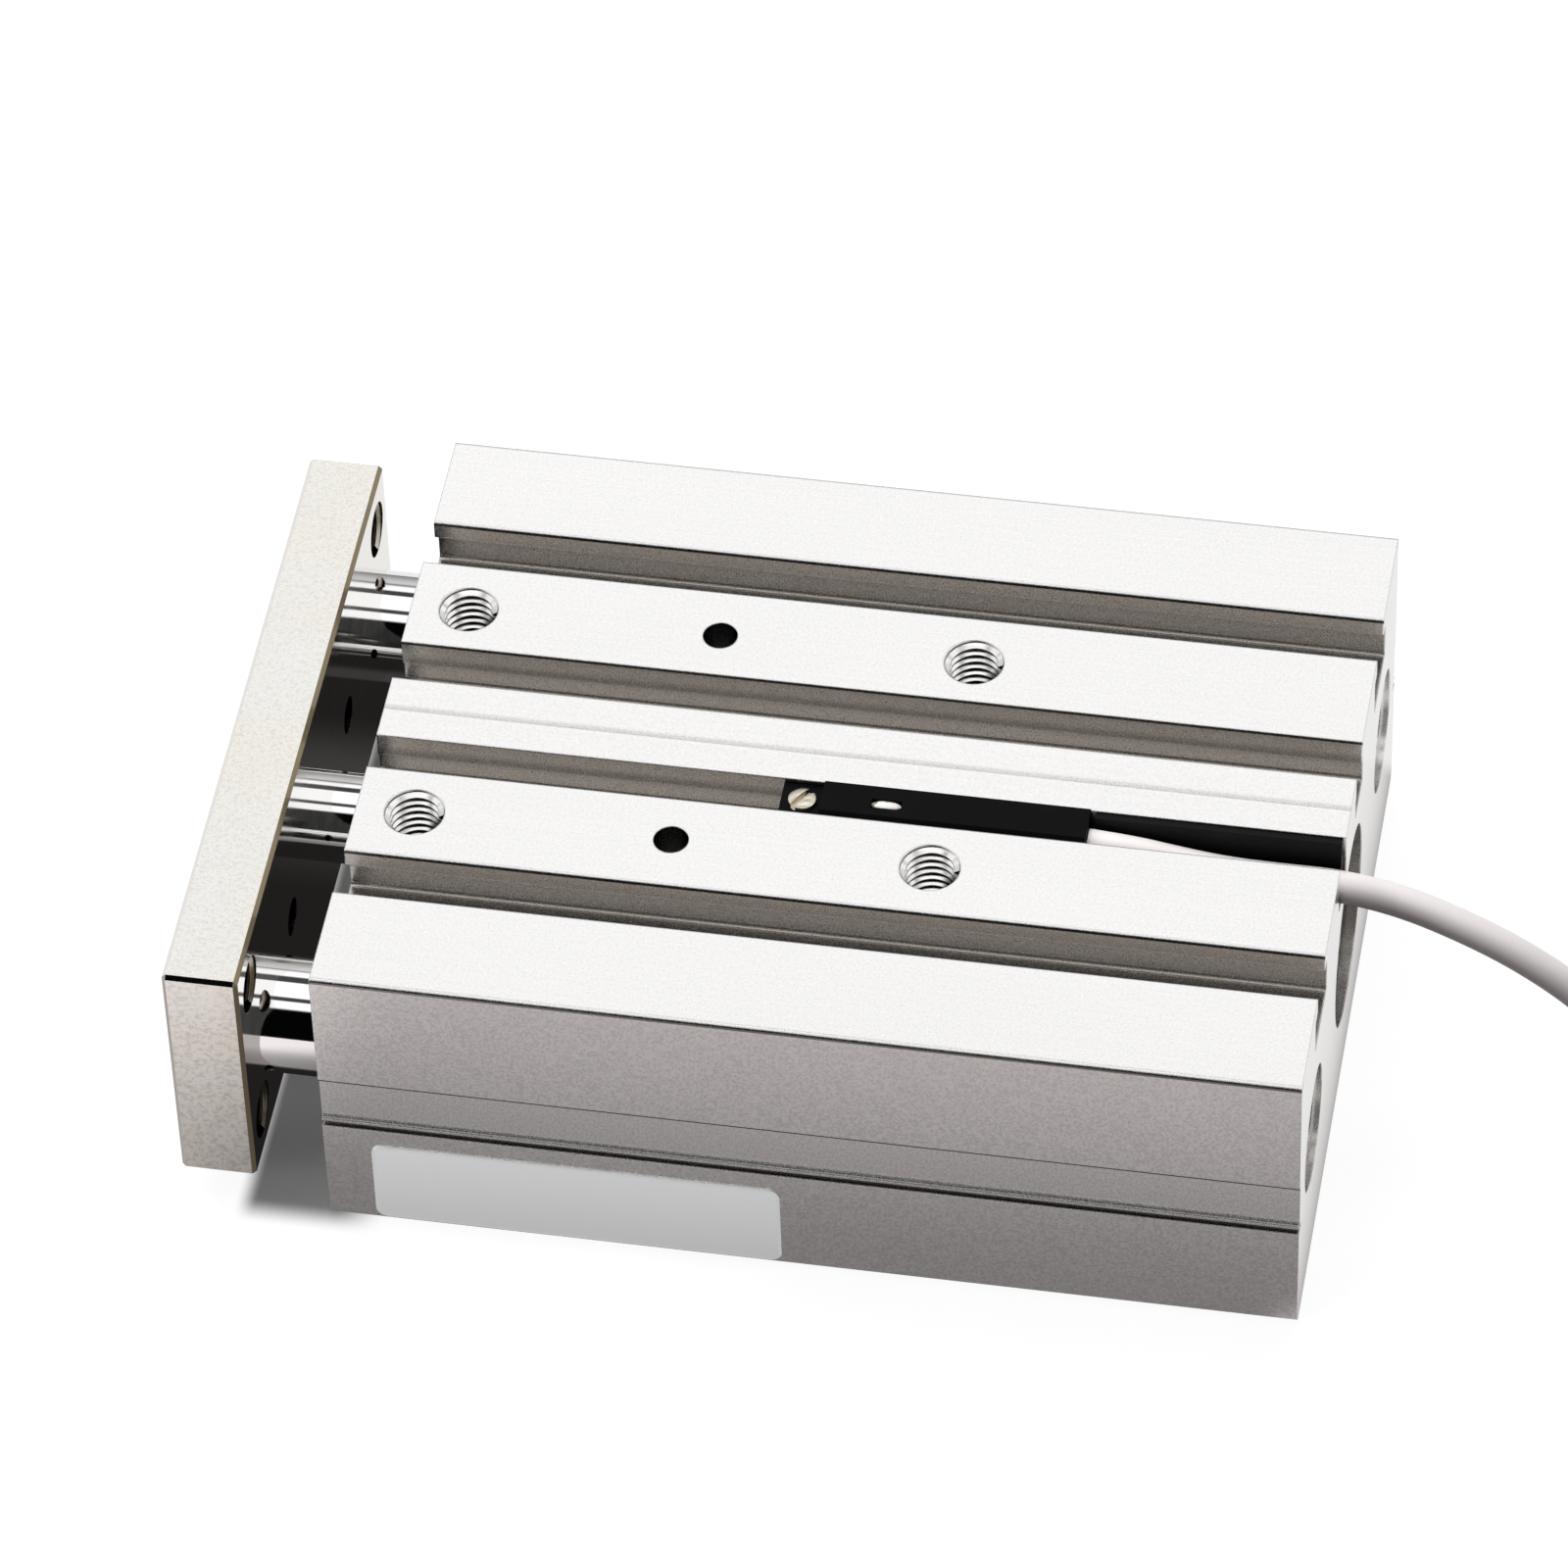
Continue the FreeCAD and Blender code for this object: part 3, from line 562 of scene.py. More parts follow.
@dataclass(frozen=True)
class Foil(Finish):
    """Semi-gloss foil with a paler rim and a tone that is lighter towards the top.

    Attributes:
        low: the plate's lowest corner.
        high: the plate's highest corner.
    """

    low: Triple = (0, 0, 0)
    high: Triple = (1, 1, 1)

    def dress(self, sheet: ShaderSheet) -> None:
        """Fills the shader with the lighter top, the rim and a trace of brushing."""
        brush = sheet.noise(sheet.stretch((300, 200, 7000)), 1.0, 2)
        x, _, z = sheet.split(sheet.place)
        middle = [(a + b) / 2 for a, b in zip(self.low, self.high)]
        past = []
        for place, axis in ((x, 0), (z, 2)):
            away = sheet.count("ABSOLUTE", sheet.count("SUBTRACT", place, middle[axis]))
            past.append(sheet.count("SUBTRACT", away, self.high[axis] - middle[axis]))
        rim = sheet.spread(sheet.count("MAXIMUM", *past), -0.32 * MM, -0.22 * MM, 0, 1)
        # The tone is darker towards the bottom and lighter towards the top.
        tone = sheet.shaded(self.tone, sheet.spread(z, self.low[2], self.high[2], 0.93, 1.04))
        sheet.set("Base Color", sheet.colour(rim, tone, (0.93, 0.93, 0.93)))
        sheet.set("Metallic", 0.1)
        sheet.set("Roughness", sheet.spread(brush, 0.2, 0.8, self.rough - 0.04, self.rough + 0.06))
        sheet.set("Normal", sheet.bump(brush, 0.002 * MM, 0.3))


# --- Modelling by hand ---
class Bench:
    """The workbench: adds primitives and shapes them with operators in edit mode."""

    @staticmethod
    def clear() -> None:
        """Leaves edit mode and selects nothing."""
        if bpy.context.object is not None and bpy.context.object.mode != "OBJECT":
            bpy.ops.object.mode_set(mode="OBJECT")
        bpy.ops.object.select_all(action="DESELECT")

    @staticmethod
    def take(name: str) -> Piece:
        """Names the primitive that was just added and settles it at the origin.

        Args:
            name: the piece's name.

        Returns:
            The piece.
        """
        piece = bpy.context.object
        piece.name = name
        piece.data.name = name
        bpy.ops.object.transform_apply(location=True, rotation=True, scale=True)
        return piece

    @staticmethod
    def hold(piece: Piece) -> None:
        """Selects one piece and makes it active."""
        Bench.clear()
        piece.select_set(True)
        bpy.context.view_layer.objects.active = piece

    @staticmethod
    def pick(piece: Piece, mode: str, test: Callable[[Vector], bool]) -> None:
        """Enters edit mode with the faces or edges that pass a test selected.

        Args:
            piece: the piece to edit.
            mode: FACE or EDGE.
            test: takes a part's middle and says whether it is selected.
        """
        Bench.hold(piece)
        bpy.ops.object.mode_set(mode="EDIT")
        bpy.ops.mesh.select_mode(type=mode)
        bpy.ops.mesh.select_all(action="DESELECT")
        bpy.ops.object.mode_set(mode="OBJECT")
        mesh = piece.data
        if mode == "EDGE":
            for edge in mesh.edges:
                a, b = (mesh.vertices[i].co for i in edge.vertices)
                edge.select = test((a + b) / 2)
        else:
            for face in mesh.polygons:
                face.select = test(face.center)
        bpy.ops.object.mode_set(mode="EDIT")

    @staticmethod
    def apply(piece: Piece, kind: str, **settings: object) -> None:
        """Adds a modifier and applies it.

        Args:
            piece: the piece to change.
            kind: the modifier's type.
            settings: its settings by name.
        """
        Bench.hold(piece)
        modifier = piece.modifiers.new(kind.lower(), kind)
        for name, value in settings.items():
            setattr(modifier, name, value)
        bpy.ops.object.modifier_apply(modifier=modifier.name)

    @staticmethod
    def smooth(piece: Piece, angle: float = 40.0) -> None:
        """Shades a piece smooth except at edges sharper than an angle in degrees."""
        Bench.hold(piece)
        bpy.ops.object.shade_smooth_by_angle(angle=math.radians(angle))

    @staticmethod
    def copy(piece: Piece, name: str, move: Matrix) -> Piece:
        """A copy with its own mesh, moved in the mesh itself.

        Args:
            piece: the piece to copy.
            name: the copy's name.
            move: where the copy's mesh goes.

        Returns:
            The copy.
        """
        twin = piece.copy()
        twin.data = piece.data.copy()
        twin.name = name
        twin.data.name = name
        bpy.context.collection.objects.link(twin)
        twin.data.transform(move)
        return twin

    @staticmethod
    def fit(piece: Piece, materials: Sequence[Material], body: Body, slot: str) -> None:
        """Dresses a finished piece and fixes it to a body.

        Args:
            piece: the piece.
            materials: its materials.
            body: the body that it rides on.
            slot: the record's material slot; not used.
        """
        piece.data.materials.clear()
        for material in materials:
            piece.data.materials.append(material)
        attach(piece, body.value)
        LOG.info("%s: rides on %s", piece.name, body.value)


def dress_nodes(finish: Finish, *names: str) -> None:
    """Gives CAD nodes a finish.

    Args:
        finish: the finish.
        names: the nodes.
    """
    material = finish.make()
    for name in names:
        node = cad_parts[name]
        for slot in node.material_slots:
            slot.material = material
        if not node.material_slots:
            node.data.materials.append(material)
        LOG.info("%s: %s", name, finish.name)


# --- Sub-assemblies ---
@dataclass
class Housing:
    """The slotted body with its covers, bushes, retaining rings and blank name plate."""

    alloy: DrawnAlloy = DrawnAlloy("drawn_alloy", (0.955, 0.945, 0.94), 0.25)
    turned: CutMetal = CutMetal("turned_cover", (0.72, 0.71, 0.69), 0.3, (600, 2600, 2600))
    ring: CutMetal = CutMetal("spring_ring", (0.17, 0.16, 0.15), 0.38)
    bronze: CutMetal = CutMetal("bronze_bush", (0.60, 0.45, 0.25), 0.35, (3000, 500, 500), (0.28, 0.18, 0.09))
    rubber: Moulded = Moulded("seal_rubber", (0.02, 0.02, 0.02), 0.5)
    foil: Foil = Foil("blank_foil", (0.95, 0.945, 0.96), 0.36)

    def build(self) -> None:
        """Dresses the housing's nodes."""
        low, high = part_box("cylinder_body")
        drilled = ((TAP_X[0], TAP_R), (PIN_X, PIN_R), (TAP_X[1], TAP_R))
        holes = [(low.x + x * MM, HOLE_Y * MM, r * MM) for x, r in drilled]
        dress_nodes(replace(self.alloy, holes=tuple(holes), skin=high.z), "cylinder_body")
        dress_nodes(self.turned, "rod_cover", "head_cover")
        dress_nodes(self.ring, "front_snap_ring", "rear_snap_ring")
        bushes = [f"guide_bush_{place}_{side}" for place in ("front", "inner") for side in ("left", "right")]
        dress_nodes(self.bronze, *bushes, "rod_bush")
        dress_nodes(self.rubber, "rod_cover_oring", "head_cover_oring", "rod_seal")
        low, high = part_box("name_label")
        dress_nodes(replace(self.foil, low=tuple(low), high=tuple(high)), "name_label")


@dataclass
class Carriage:
    """The plate, the three rods, their screws and the piston, which all slide together."""

    plate: BlastedSteel = BlastedSteel("blasted_plate", (0.99, 0.975, 0.935), 0.3)
    chrome: GroundChrome = GroundChrome("ground_chrome", (0.93, 0.93, 0.935), 0.02)
    screw: CutMetal = CutMetal("plated_screw", (0.58, 0.57, 0.54), 0.28, (900, 900, 900))
    piston: CutMetal = CutMetal("turned_piston", (0.74, 0.72, 0.66), 0.3)
    rubber: Moulded = Moulded("bumper_rubber", (0.05, 0.05, 0.055), 0.55)
    magnet: Moulded = Moulded("magnet_compound", (0.07, 0.065, 0.06), 0.6)
    wear: Moulded = Moulded("wear_compound", (0.12, 0.10, 0.085), 0.5)

    def build(self) -> None:
        """Dresses the sliding nodes."""
        low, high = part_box("front_plate")
        middle = (low.z + high.z) / 2
        drilled = [(PLATE_PIN_Y, 0, PLATE_PIN_R)]
        drilled += [(PLATE_TAP_Y, z, TAP_R) for z in (PLATE_TAP_Z, -PLATE_TAP_Z)]
        bores = [(y * MM, middle + z * MM, r * MM) for y, z, r in drilled]
        dress_nodes(replace(self.plate, bores=tuple(bores)), "front_plate")
        dress_nodes(self.chrome, "guide_rod_left", "guide_rod_right", "piston_rod")
        dress_nodes(self.screw, "guide_rod_screw_left", "guide_rod_screw_right", "piston_rod_screw",
                    "piston_nut")
        dress_nodes(self.piston, "piston")
        dress_nodes(self.rubber, "piston_seal", "piston_bumper_front", "piston_bumper_rear")
        dress_nodes(self.magnet, "piston_magnet")
        dress_nodes(self.wear, "piston_wear_ring")


@dataclass
class Threads:
    """The screw threads cut in the body and in the plate.

    Attributes:
        wall_r: the radius that the ridge grows from.
        crest_r: the radius of the ridge's crest.
        pitch: the rise of one turn.
        steps: the facets of one turn.
        top_depth: how deep the top holes' threads go.
        port_depth: how deep the ports' threads go.
        plate_depth: how deep the plate's threads go.
    """

    wall_r: float = 2.52 * MM
    crest_r: float = 2.08 * MM
    pitch: float = 0.8 * MM
    steps: int = 36
    top_depth: float = 11.4 * MM
    port_depth: float = 5.0 * MM
    plate_depth: float = 5.7 * MM
    # Lit and shaded copies of one tapped finish: painted light on the faces towards the mouth, painted shade
    # on the rest.
    tapped: CutMetal = CutMetal("thread_lit", (0.97, 0.96, 0.95), 0.16, (300, 300, 5000), (0.85, 0.83, 0.8))
    flank: CutMetal = CutMetal("thread_shaded", (0.06, 0.055, 0.05), 0.3, (300, 300, 5000),
                               (0.06, 0.055, 0.05))
    plated: CutMetal = CutMetal("plate_thread_lit", (0.66, 0.60, 0.50), 0.24, (5000, 300, 300), (0.3, 0.25, 0.18))
    plated_shaded: CutMetal = CutMetal("plate_thread_shaded", (0.12, 0.10, 0.08), 0.3, (5000, 300, 300),
                                      (0.05, 0.04, 0.03))

    def ridge(self, name: str, depth: float) -> Piece:
        """One thread along Z, from the mouth at the origin downwards.

        Args:
            name: the piece's name.
            depth: how deep the thread goes.

        Returns:
            The thread.
        """
        Bench.clear()
        bpy.ops.mesh.primitive_plane_add(size=1, location=(0, 0, 0), rotation=(math.pi / 2, 0, 0))
        piece = Bench.take(name)
        foot, tip = 0.44 * self.pitch, 0.08 * self.pitch
        for vertex in piece.data.vertices:
            radius, rise = (self.crest_r, tip) if vertex.co.x < 0 else (self.wall_r, foot)
            vertex.co = (radius, 0, math.copysign(rise, vertex.co.z))
        Bench.pick(piece, "EDGE", lambda middle: middle.x > self.wall_r - 1e-7)
        bpy.ops.mesh.delete(type="EDGE_FACE")
        Bench.clear()
        turns = int(depth / self.pitch)
        Bench.apply(piece, "SCREW", screw_offset=-self.pitch, iterations=turns, steps=self.steps,
                    render_steps=self.steps, use_merge_vertices=False, use_normal_calculate=False)
        piece.data.transform(Matrix.Translation((0, 0, -0.45 * self.pitch)))
        Bench.smooth(piece)
        return piece

    def dress(self, piece: Piece, lit_and_shaded: Sequence[Material], body: Body, slot: str, mouth: Triple) -> None:
        """Fixes a thread to its body, with painted light where it faces the mouth and painted shade
        elsewhere.

        Args:
            piece: the thread.
            lit_and_shaded: the lit copy of the finish and the shaded copy.
            body: the body that it rides on.
            slot: the record's material slot.
            mouth: the direction of the hole's mouth.
        """
        Bench.fit(piece, lit_and_shaded, body, slot)
        corners = [Vector(corner) for corner in piece.bound_box]
        middle = sum(corners, Vector()) / len(corners)
        axis = Vector(mouth)
        for face in piece.data.polygons:
            across = face.center - middle
            across -= axis * across.dot(axis)
            inwards = -1 if face.normal.dot(across) > 0 else 1
            # Painted light on the faces towards the mouth, painted shade on the others.
            face.material_index = int(inwards * face.normal.dot(axis) < 0.3)

    def series(self, name: str, depth: float, places: Sequence[Matrix]) -> list[Piece]:
        """Models one thread and copies it to every place.

        Args:
            name: the pieces' name, before their number.
            depth: how deep the threads go.
            places: where the threads' mouths go.

        Returns:
            The threads.
        """
        first = self.ridge(f"{name}_1", depth)
        twins = [Bench.copy(first, f"{name}_{number}", place) for number, place in enumerate(places[1:], 2)]
        first.data.transform(places[0])
        return [first] + twins

    def build(self) -> None:
        """Cuts the threads of the top holes, the ports and the plate."""
        low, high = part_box("cylinder_body")
        tapped = [self.tapped.make(), self.flank.make()]
        plated = [self.plated.make(), self.plated_shaded.make()]
        places = [Matrix.Translation((low.x + x * MM, y * MM, high.z))
                  for x in TAP_X for y in (-HOLE_Y, HOLE_Y)]
        for piece in self.series("thread_top", self.top_depth, places):
            self.dress(piece, tapped, Body.CYLINDER, "body_alloy", (0, 0, 1))
        flip = Matrix.Rotation(math.pi, 4, "X")
        places = [Matrix.Translation((x, 0, low.z)) @ flip
                  for x in (low.x + PORT_FRONT * MM, high.x - PORT_REAR * MM)]
        for piece, end in zip(self.series("thread_port", self.port_depth, places), ("front", "rear")):
            piece.name = piece.data.name = f"thread_port_{end}"
            self.dress(piece, tapped, Body.CYLINDER, "body_alloy", (0, 0, -1))
        low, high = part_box("front_plate")
        middle = (low.z + high.z) / 2
        turn = Matrix.Rotation(math.radians(90), 4, "Y")
        places = [Matrix.Translation((high.x, y * MM, middle + z * MM)) @ turn
                  for y in (-PLATE_TAP_Y, PLATE_TAP_Y) for z in (-PLATE_TAP_Z, PLATE_TAP_Z)]
        for piece in self.series("thread_plate", self.plate_depth, places):
            self.dress(piece, plated, Body.SLIDE, "plate_steel", (1, 0, 0))


@dataclass
class Switch:
    """The position switch in the near slot, its clamp screw and lens, and the black strip behind it, which is
    painted shade in the slot.

    Attributes:
        dome: how much lower the clamp screw's rim lies than its middle.
        slit_w: the width of its slit.
        slit_depth: the depth of its slit.
        slit_turn: how far its slit is turned from X, in degrees.
        lens_rise: how much higher than its solid the lens is.
    """

    case: Moulded = Moulded("switch_case", (0.003, 0.003, 0.0035), 0.4, 5200, 0.004 * MM, 0.1, 0.05)
    # A black strip that stands for the shade in the slot behind the switch: painted shade.
    strip: Moulded = Moulded("slot_strip", (0.005, 0.005, 0.005), 0.5, 4200, 0.006 * MM, 0.1, 0.12)
    screw: CutMetal = CutMetal("clamp_screw", (0.86, 0.80, 0.68), 0.22, (900, 900, 900), (0.4, 0.32, 0.2))
    lens: Lens = Lens("switch_lens", (0.86, 0.85, 0.82), 0.12)
    dome: float = 0.24 * MM
    slit_w: float = 0.52 * MM
    slit_depth: float = 0.65 * MM
    slit_turn: float = 55.0
    lens_rise: float = 0.1 * MM

    def clamp_screw(self) -> Piece:
        """The slotted set screw with a domed head.

        Returns:
            The screw.
        """
        low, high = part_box("switch_clamp_screw")
        centre, radius, height = (low + high) / 2, (high.x - low.x) / 2, high.z - low.z
        Bench.clear()
        bpy.ops.mesh.primitive_cylinder_add(vertices=40, radius=radius, depth=height, location=centre)
        piece = Bench.take("clamp_screw")
        Bench.pick(piece, "FACE", lambda middle: middle.z > high.z - 1e-6)
        bpy.ops.mesh.inset(thickness=radius * 0.3)
        bpy.ops.mesh.inset(thickness=radius * 0.4)
        Bench.clear()
        for vertex in piece.data.vertices:
            if vertex.co.z > high.z - 1e-6:
                share = math.hypot(vertex.co.x - centre.x, vertex.co.y - centre.y) / radius
                vertex.co.z -= self.dome * share ** 4
        bpy.ops.mesh.primitive_cube_add(size=1, location=(centre.x, centre.y, high.z))
        bpy.ops.transform.resize(value=(4 * radius, self.slit_w, 2 * self.slit_depth))
        bpy.context.object.rotation_euler.z = math.radians(self.slit_turn)
        cutter = Bench.take("slit")
        Bench.apply(piece, "BOOLEAN", operation="DIFFERENCE", object=cutter, solver="EXACT")
        bpy.data.objects.remove(cutter, do_unlink=True)
        Bench.apply(piece, "BEVEL", width=0.05 * MM, segments=2, limit_method="ANGLE",
                    angle_limit=math.radians(40))
        Bench.smooth(piece)
        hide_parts("switch_clamp_screw")
        return piece

    def lens_piece(self) -> Piece:
        """The small domed lens over the indicator lamp.

        Returns:
            The lens.
        """
        low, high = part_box("switch_window")
        Bench.clear()
        size = high - low
        middle = (low + high) / 2
        bpy.ops.mesh.primitive_uv_sphere_add(segments=40, ring_count=20, radius=0.5, location=middle)
        bpy.ops.transform.resize(value=(size.x, size.y, size.z + self.lens_rise))
        piece = Bench.take("indicator_lens")
        Bench.smooth(piece, 60)
        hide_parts("switch_window")
        return piece

    def build(self) -> None:
        """Builds the screw and the lens and dresses the case and the black strip of painted shade."""
        dress_nodes(self.case, "switch_case")
        dress_nodes(self.strip, "slot_strip")
        Bench.fit(self.clamp_screw(), [self.screw.make()], Body.CYLINDER, "clamp_brass")
        Bench.fit(self.lens_piece(), [self.lens.make()], Body.CYLINDER, "window_plastic")


@dataclass
class Lead:
    """The switch's lead: out of the slot, down to the floor and into a small coil.

    Attributes:
        diameter: how thick it is.
        length: how long it is from the switch to its far end.
        exit: where it leaves the switch, in millimetres.
        route: the points that it follows to the coil, in millimetres.
        coil_centre: the X and Y of the coil's middle, in millimetres.
        turns_r: the radii of the inner and the outer turns, in millimetres.
        layers: the heights of the lower and the upper turns, in millimetres.
        coil_turn: where the coil starts and ends, in degrees.
        coil_step: the degrees from one point of the coil to the next.
    """

    diameter: float = 2.8 * MM
    length: float = 0.46
    exit: Triple = (19.9, -5.75, 28.00)
    route: Sequence[Triple] = (
        (23.6, -5.80, 27.80), (27.6, -5.88, 27.12), (31.8, -5.95, 26.58), (36.4, -6.00, 26.52),
        (41.4, -6.03, 26.60), (46.6, -6.20, 25.70), (51.6, -6.50, 23.85), (56.4, -6.90, 21.60),
        (61.0, -7.35, 18.60), (65.2, -7.85, 14.90), (69.0, -8.35, 10.80), (72.8, -8.80, 7.00),
        (77.2, -9.20, 3.95), (82.2, -9.50, 2.05), (87.4, -9.60, 1.46), (92.6, -9.64, 1.44),
        (97.0, -9.60, 1.42),
    )
    coil_centre: tuple[float, float] = (99.0, 8.7)
    turns_r: tuple[float, float] = (15.4, 18.3)
    layers: tuple[float, float] = (1.42, 4.23)
    coil_turn: tuple[float, float] = (-70.0, 1160.0)
    coil_step: float = 20.0
    # The jacket's lower side gets painted shade.
    jacket: Moulded = Moulded("lead_jacket", (0.98, 0.925, 0.92), 0.36, 2600, 0.004 * MM, 0.2, 0.5,
                              (0.15, 0.105, 0.108))
    brown: Moulded = Moulded("core_brown", (0.20, 0.085, 0.04), 0.4)
    blue: Moulded = Moulded("core_blue", (0.04, 0.12, 0.38), 0.4)
    tin: CutMetal = CutMetal("tinned_strands", (0.80, 0.79, 0.76), 0.3, (5000, 5000, 900))

    @staticmethod
    def ease(share: float) -> float:
        """0 to 1 with soft ends."""
        share = min(1.0, max(0.0, share))
        return share ** 2 * (3 - 2 * share)

    def coil(self) -> list[Triple]:
        """The coil's points: an outer and an inner turn on the floor, then an inner and an outer one on top.

        Returns:
            The points in millimetres.
        """
        (inner, outer), (low, high) = self.turns_r, self.layers
        degrees, last = self.coil_turn
        points = []
        widen = 1 / math.cos(math.radians(self.coil_step / 2))
        while degrees <= last:
            inwards = self.ease((degrees - 205) / 55)
            outwards = self.ease((degrees - 850) / 50)
            radius = outer + (inner - outer) * (inwards - outwards)
            height = low + (high - low) * self.ease((degrees - 535) / 45)
            turn = math.radians(degrees)
            points.append((self.coil_centre[0] + widen * radius * math.cos(turn),
                           self.coil_centre[1] + widen * radius * math.sin(turn), height))
            degrees += self.coil_step
        return points

    def build(self) -> None:
        """Lays the lead as one smooth line and dresses its bare cores."""
        points = [self.exit, *self.route, *self.coil()]
        curve = bpy.data.curves.new("switch_lead", "CURVE")
        curve.dimensions = "3D"
        spline = curve.splines.new("NURBS")
        spline.points.add(len(points) - 1)
        for slot, point in zip(spline.points, points):
            slot.co = (*[c * MM for c in point], 1.0)
        spline.order_u = 3
        spline.use_endpoint_u = True
        spline.resolution_u = 5
        curve.bevel_depth = self.diameter / 2
        curve.bevel_resolution = 5
        curve.use_fill_caps = True
        piece = bpy.data.objects.new("switch_lead", curve)
        bpy.context.collection.objects.link(piece)
        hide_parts("sensor_lead", "lead_coil")
        Bench.fit(piece, [self.jacket.make()], Body.CYLINDER, "lead_jacket")
        names = ("lead_core_brown", "lead_core_blue", "lead_core_tips")
        for name, finish in zip(names, (self.brown, self.blue, self.tin)):
            dress_nodes(finish, name)


# --- Studio ---
@dataclass
class Studio:
    """The pale floor, the soft lamps, the surroundings and the camera.

    Attributes:
        eye: where the camera stands.
        right: its right.
        up: its up.
        back: its back.
        lens: its focal length.
        fill: the surroundings' light from above and behind.
        front_fill: their light from the front.
        panel: the brightness of the panels that gloss sees.
        aside_low: the least that it sees off to the sides.
        aside_share: its share of the panels there.
        floor_glow: the floor's own brightness.
        floor_shade: the same in the gap behind the plate, where it is a painted shadow.
        floor_before: the floor to gloss, in front of the body, as a painted reflection.
        floor_foot: the same at the body's foot, darker there as painted shade.
        floor_under: the same under the body, as a painted shadow.
        floor_bright: the same behind and beside the body, as painted light.
        floor_plate: a factor for it before the plate, as painted light.
        floor_tint: the tint of the floor's painted reflection to gloss.
        tunnel: levels by degrees round X, from above to the front.
    """

    eye: Triple = (0.09841, -0.52638, 0.60129)
    right: Triple = (0.98540745, 0.16808882, -0.02680121)
    up: Triple = (-0.10505318, 0.72448683, 0.68123613)
    back: Triple = (0.1339253, -0.66847961, 0.73157298)
    lens: float = 212.42
    fill: float = 0.28
    front_fill: float = 0.12
    panel: float = 1.13
    aside_low: float = 0.35
    aside_share: float = 0.5
    floor_glow: float = 0.86
    floor_shade: float = 0.04
    floor_before: float = 0.52
    floor_foot: float = 0.22
    floor_under: float = 0.02
    floor_bright: float = 0.9
    floor_plate: float = 1.9
    floor_tint: Triple = (1.0, 0.94, 0.93)
    tunnel: tuple[tuple[float, float], ...] = (
        (-180, 0.45), (-100, 0.12), (-88, 0.2), (-66, 0.55), (-57, 0.6), (-56, 0.2), (-54.5, 0.2), (-53, 1),
        (-33.4, 1), (-32.6, 0.05), (-25.2, 0.05), (-24.4, 1), (7.6, 1), (8.6, 0.05), (15.4, 0.05), (16.4, 1),
        (30, 1), (33, 0.001), (88, 0.001), (96, 0.2), (110, 0.45), (180, 0.45),
    )

    def camera(self) -> None:
        """Sets the camera up."""
        data = bpy.data.cameras.new("camera")
        data.lens = self.lens
        data.sensor_width = 36.0
        data.clip_start, data.clip_end = 0.01, 50.0
        camera = bpy.data.objects.new("camera", data)
        turn = Matrix((self.right, self.up, self.back)).transposed()
        camera.matrix_world = Matrix.Translation(self.eye) @ turn.to_4x4()
        bpy.context.collection.objects.link(camera)
        bpy.context.scene.camera = camera

    def floor(self) -> None:
        """Lays the floor, with a painted shadow in the gap behind the plate. Gloss sees it bright behind the
        object and dim before it and under it: painted light and shade in its reflections.
        """
        Bench.clear()
        bpy.ops.mesh.primitive_plane_add(size=12, location=(0, 0, 0))
        piece = Bench.take("floor")
        sheet = ShaderSheet("pale_floor")
        path = sheet.node("LightPath").outputs
        eye, gloss = path["Is Camera Ray"], path["Is Glossy Ray"]
        x, y, _ = sheet.split(sheet.place)
        plate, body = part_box("front_plate"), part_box("cylinder_body")
        left, front, near = plate[0].x, body[0].x, body[0].y

        def rise(place: Socket, start: float, length: float) -> Socket:
            """0 before a place and 1 past a length in millimetres after it."""
            return sheet.spread(place, start, start + length * MM, 0, 1)

        def fall(place: Socket, start: float, length: float) -> Socket:
            """1 before a place and 0 past a length in millimetres after it."""
            return sheet.spread(place, start, start + length * MM, 1, 0)

        fleck = sheet.noise(sheet.place, 40, 2)
        paper = sheet.colour(sheet.spread(fleck, 0.3, 0.7, 0, 1), (0.24, 0.24, 0.24), (0.26, 0.26, 0.26))
        sheet.set("Base Color", sheet.colour(gloss, paper, (0, 0, 0)))
        sheet.set("Roughness", 0.9)
        sheet.set("Specular IOR Level", 0.0)
        gap = sheet.product(rise(x, left - 1 * MM, 6), fall(x, front, 5))
        # Painted shadow: the floor that the camera sees in the gap behind the plate glows less.
        shade = sheet.product(gap, rise(x, plate[1].x - 2 * MM, 2))
        shade = sheet.product(shade, fall(y, 24 * MM, 9), rise(y, near - 2 * MM, 3))
        seen_with_painted_shadow = sheet.mix(shade, self.floor_glow, self.floor_shade)
        # Painted reflections: gloss sees the floor dim before the body, darker at its foot and under it, and
        # bright behind and beside it.
        before = sheet.spread(y, near - 34 * MM, near, self.floor_before, self.floor_foot)
        before = sheet.product(before, sheet.spread(x, left - 4 * MM, front, self.floor_plate, 1))
        within = sheet.product(rise(y, near, 3), rise(x, left - 3 * MM, 3))
        before = sheet.mix(within, before, self.floor_under)
        behind = sheet.product(rise(x, body[1].x - 4 * MM, 8), rise(y, near - 4 * MM, 6))
        bright = sheet.count("MAXIMUM", behind, rise(y, body[1].y - 3 * MM, 5))
        painted_reflection = sheet.mix(bright, before, self.floor_bright)
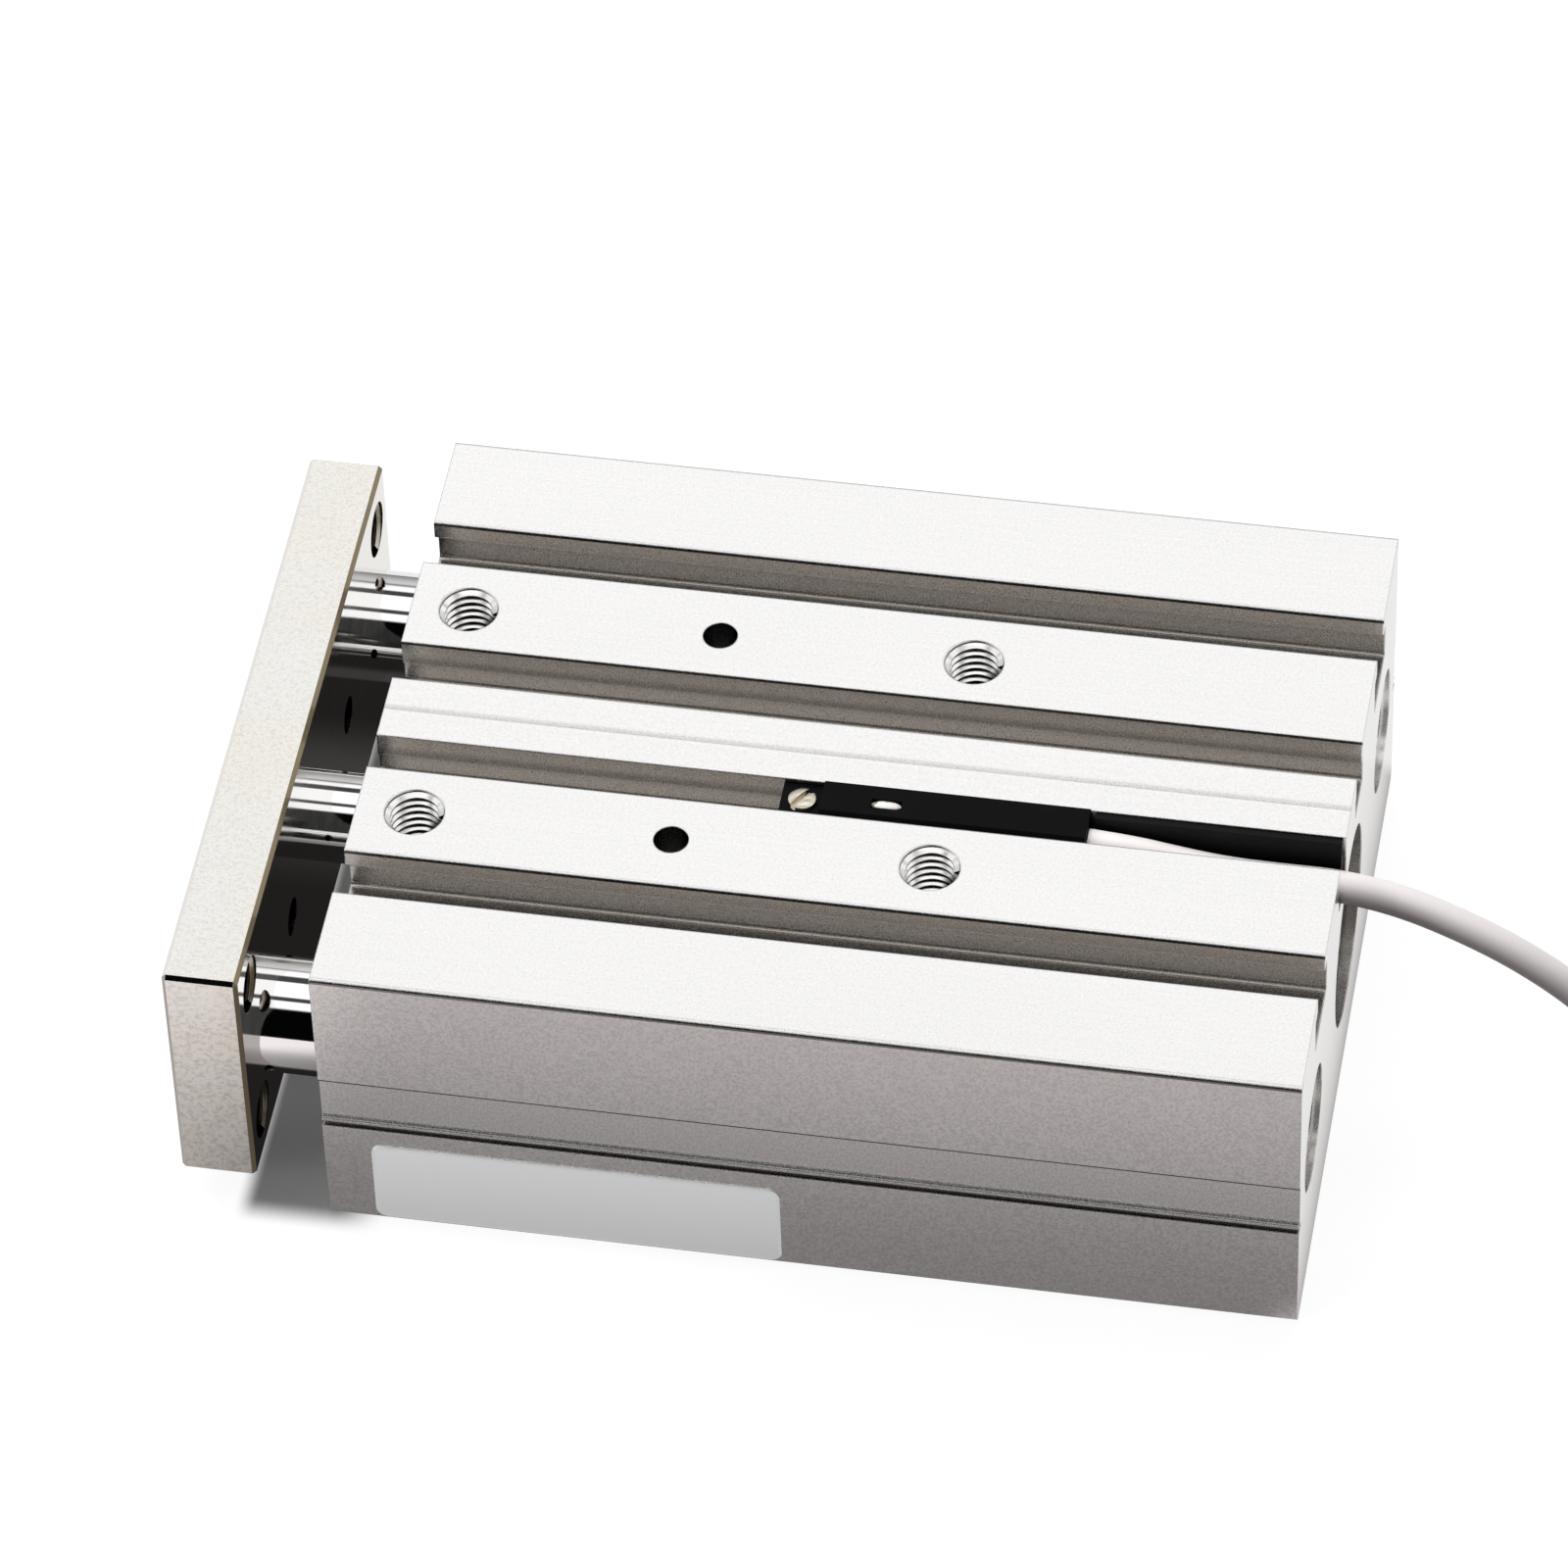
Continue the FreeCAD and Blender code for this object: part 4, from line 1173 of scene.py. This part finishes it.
        # Painted shadow in the reflections of the gap behind the plate.
        pit = sheet.product(gap, fall(y, 36 * MM, 4), rise(y, near - 1 * MM, 7))
        depth = sheet.spread(y, 4 * MM, 14 * MM, 0.015, 0.05)
        depth = sheet.product(depth, sheet.spread(y, 19 * MM, 26 * MM, 1, 0.3))
        painted_reflection = sheet.mix(pit, painted_reflection, depth)
        glow = sheet.count("ADD", sheet.product(eye, seen_with_painted_shadow), sheet.product(gloss, painted_reflection))
        tinted = sheet.product(gloss, sheet.count("SUBTRACT", 1.0, bright))
        sheet.set("Emission Color", sheet.colour(tinted, (1.0, 1.0, 1.0), self.floor_tint))
        sheet.set("Emission Strength", glow)
        piece.data.materials.append(sheet.material)

    def lamp(self, name: str, place: Triple, size: float, power: float) -> None:
        """Hangs one soft square lamp that looks at the object.

        Args:
            name: the lamp's name.
            place: where it hangs.
            size: the length of its side.
            power: its power in watts.
        """
        data = bpy.data.lights.new(name, "AREA")
        data.size = size
        data.energy = power
        lamp = bpy.data.objects.new(name, data)
        lamp.visible_glossy = False
        lamp.location = place
        lamp.rotation_euler = (Vector(place) - Vector((0, 0, 0.02))).to_track_quat("Z", "Y").to_euler()
        bpy.context.collection.objects.link(lamp)

    def surroundings(self) -> None:
        """A white studio that gloss sees as a tunnel along X: panels overhead and a dark front."""
        world = bpy.data.worlds.new("studio")
        bpy.context.scene.world = world
        world.use_nodes = True
        sheet = NodeSheet(world.node_tree)
        rays = sheet.node("LightPath").outputs
        x, y, z = sheet.split(sheet.node("TexCoord").outputs["Generated"])
        angle = sheet.count("ARCTAN2", sheet.product(y, -1.0), z)
        tunnel = sheet.node("ValToRGB", {0: sheet.spread(angle, -math.pi, math.pi, 0, 1, False)})
        stops = tunnel.color_ramp.elements
        for number, (degrees, level) in enumerate(self.tunnel):
            stop = stops[number] if number < 2 else stops.new(1.0)
            stop.position = (degrees + 180) / 360
            stop.color = (level, level, level, 1)
        off = sheet.count("ABSOLUTE", sheet.count("ADD", x, self.back[0]))
        aside = sheet.spread(off, 0.3, 0.5, 0, 1, False)
        lifted = sheet.count("ADD", sheet.product(tunnel.outputs[0], self.aside_share), self.aside_low)
        panels = sheet.product(sheet.mix(aside, tunnel.outputs[0], lifted), self.panel)
        fill = sheet.spread(sheet.count("ADD", y, z), -0.9, 0.4, self.front_fill, self.fill, False)
        gloss = sheet.count("MAXIMUM", rays["Is Glossy Ray"], rays["Is Transmission Ray"])
        level = sheet.count("MAXIMUM", sheet.mix(gloss, fill, panels), rays["Is Camera Ray"])
        shade = sheet.node("Background", {"Color": (1.0, 1.0, 1.0), "Strength": level})
        sheet.node("OutputWorld", {0: shade.outputs[0]})

    def build(self) -> None:
        """Sets up the studio."""
        scene = bpy.context.scene
        scene.view_settings.view_transform = "Standard"
        self.camera()
        self.floor()
        self.surroundings()
        self.lamp("top_lamp", (-0.35, 0.55, 1.25), 1.2, 19.0)
        self.lamp("front_lamp", (-0.9, -0.75, 0.4), 0.6, 10.5)


def main() -> None:
    """Builds the camera and the lead first, then every sub-assembly."""
    logging.basicConfig(level=logging.INFO, format="%(name)s %(message)s")
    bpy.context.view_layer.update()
    Studio().build()
    Lead().build()
    for part in (Housing(), Carriage(), Threads(), Switch()):
        part.build()
        LOG.info("%s: built", type(part).__name__)


if __name__ == "__main__":
    main()
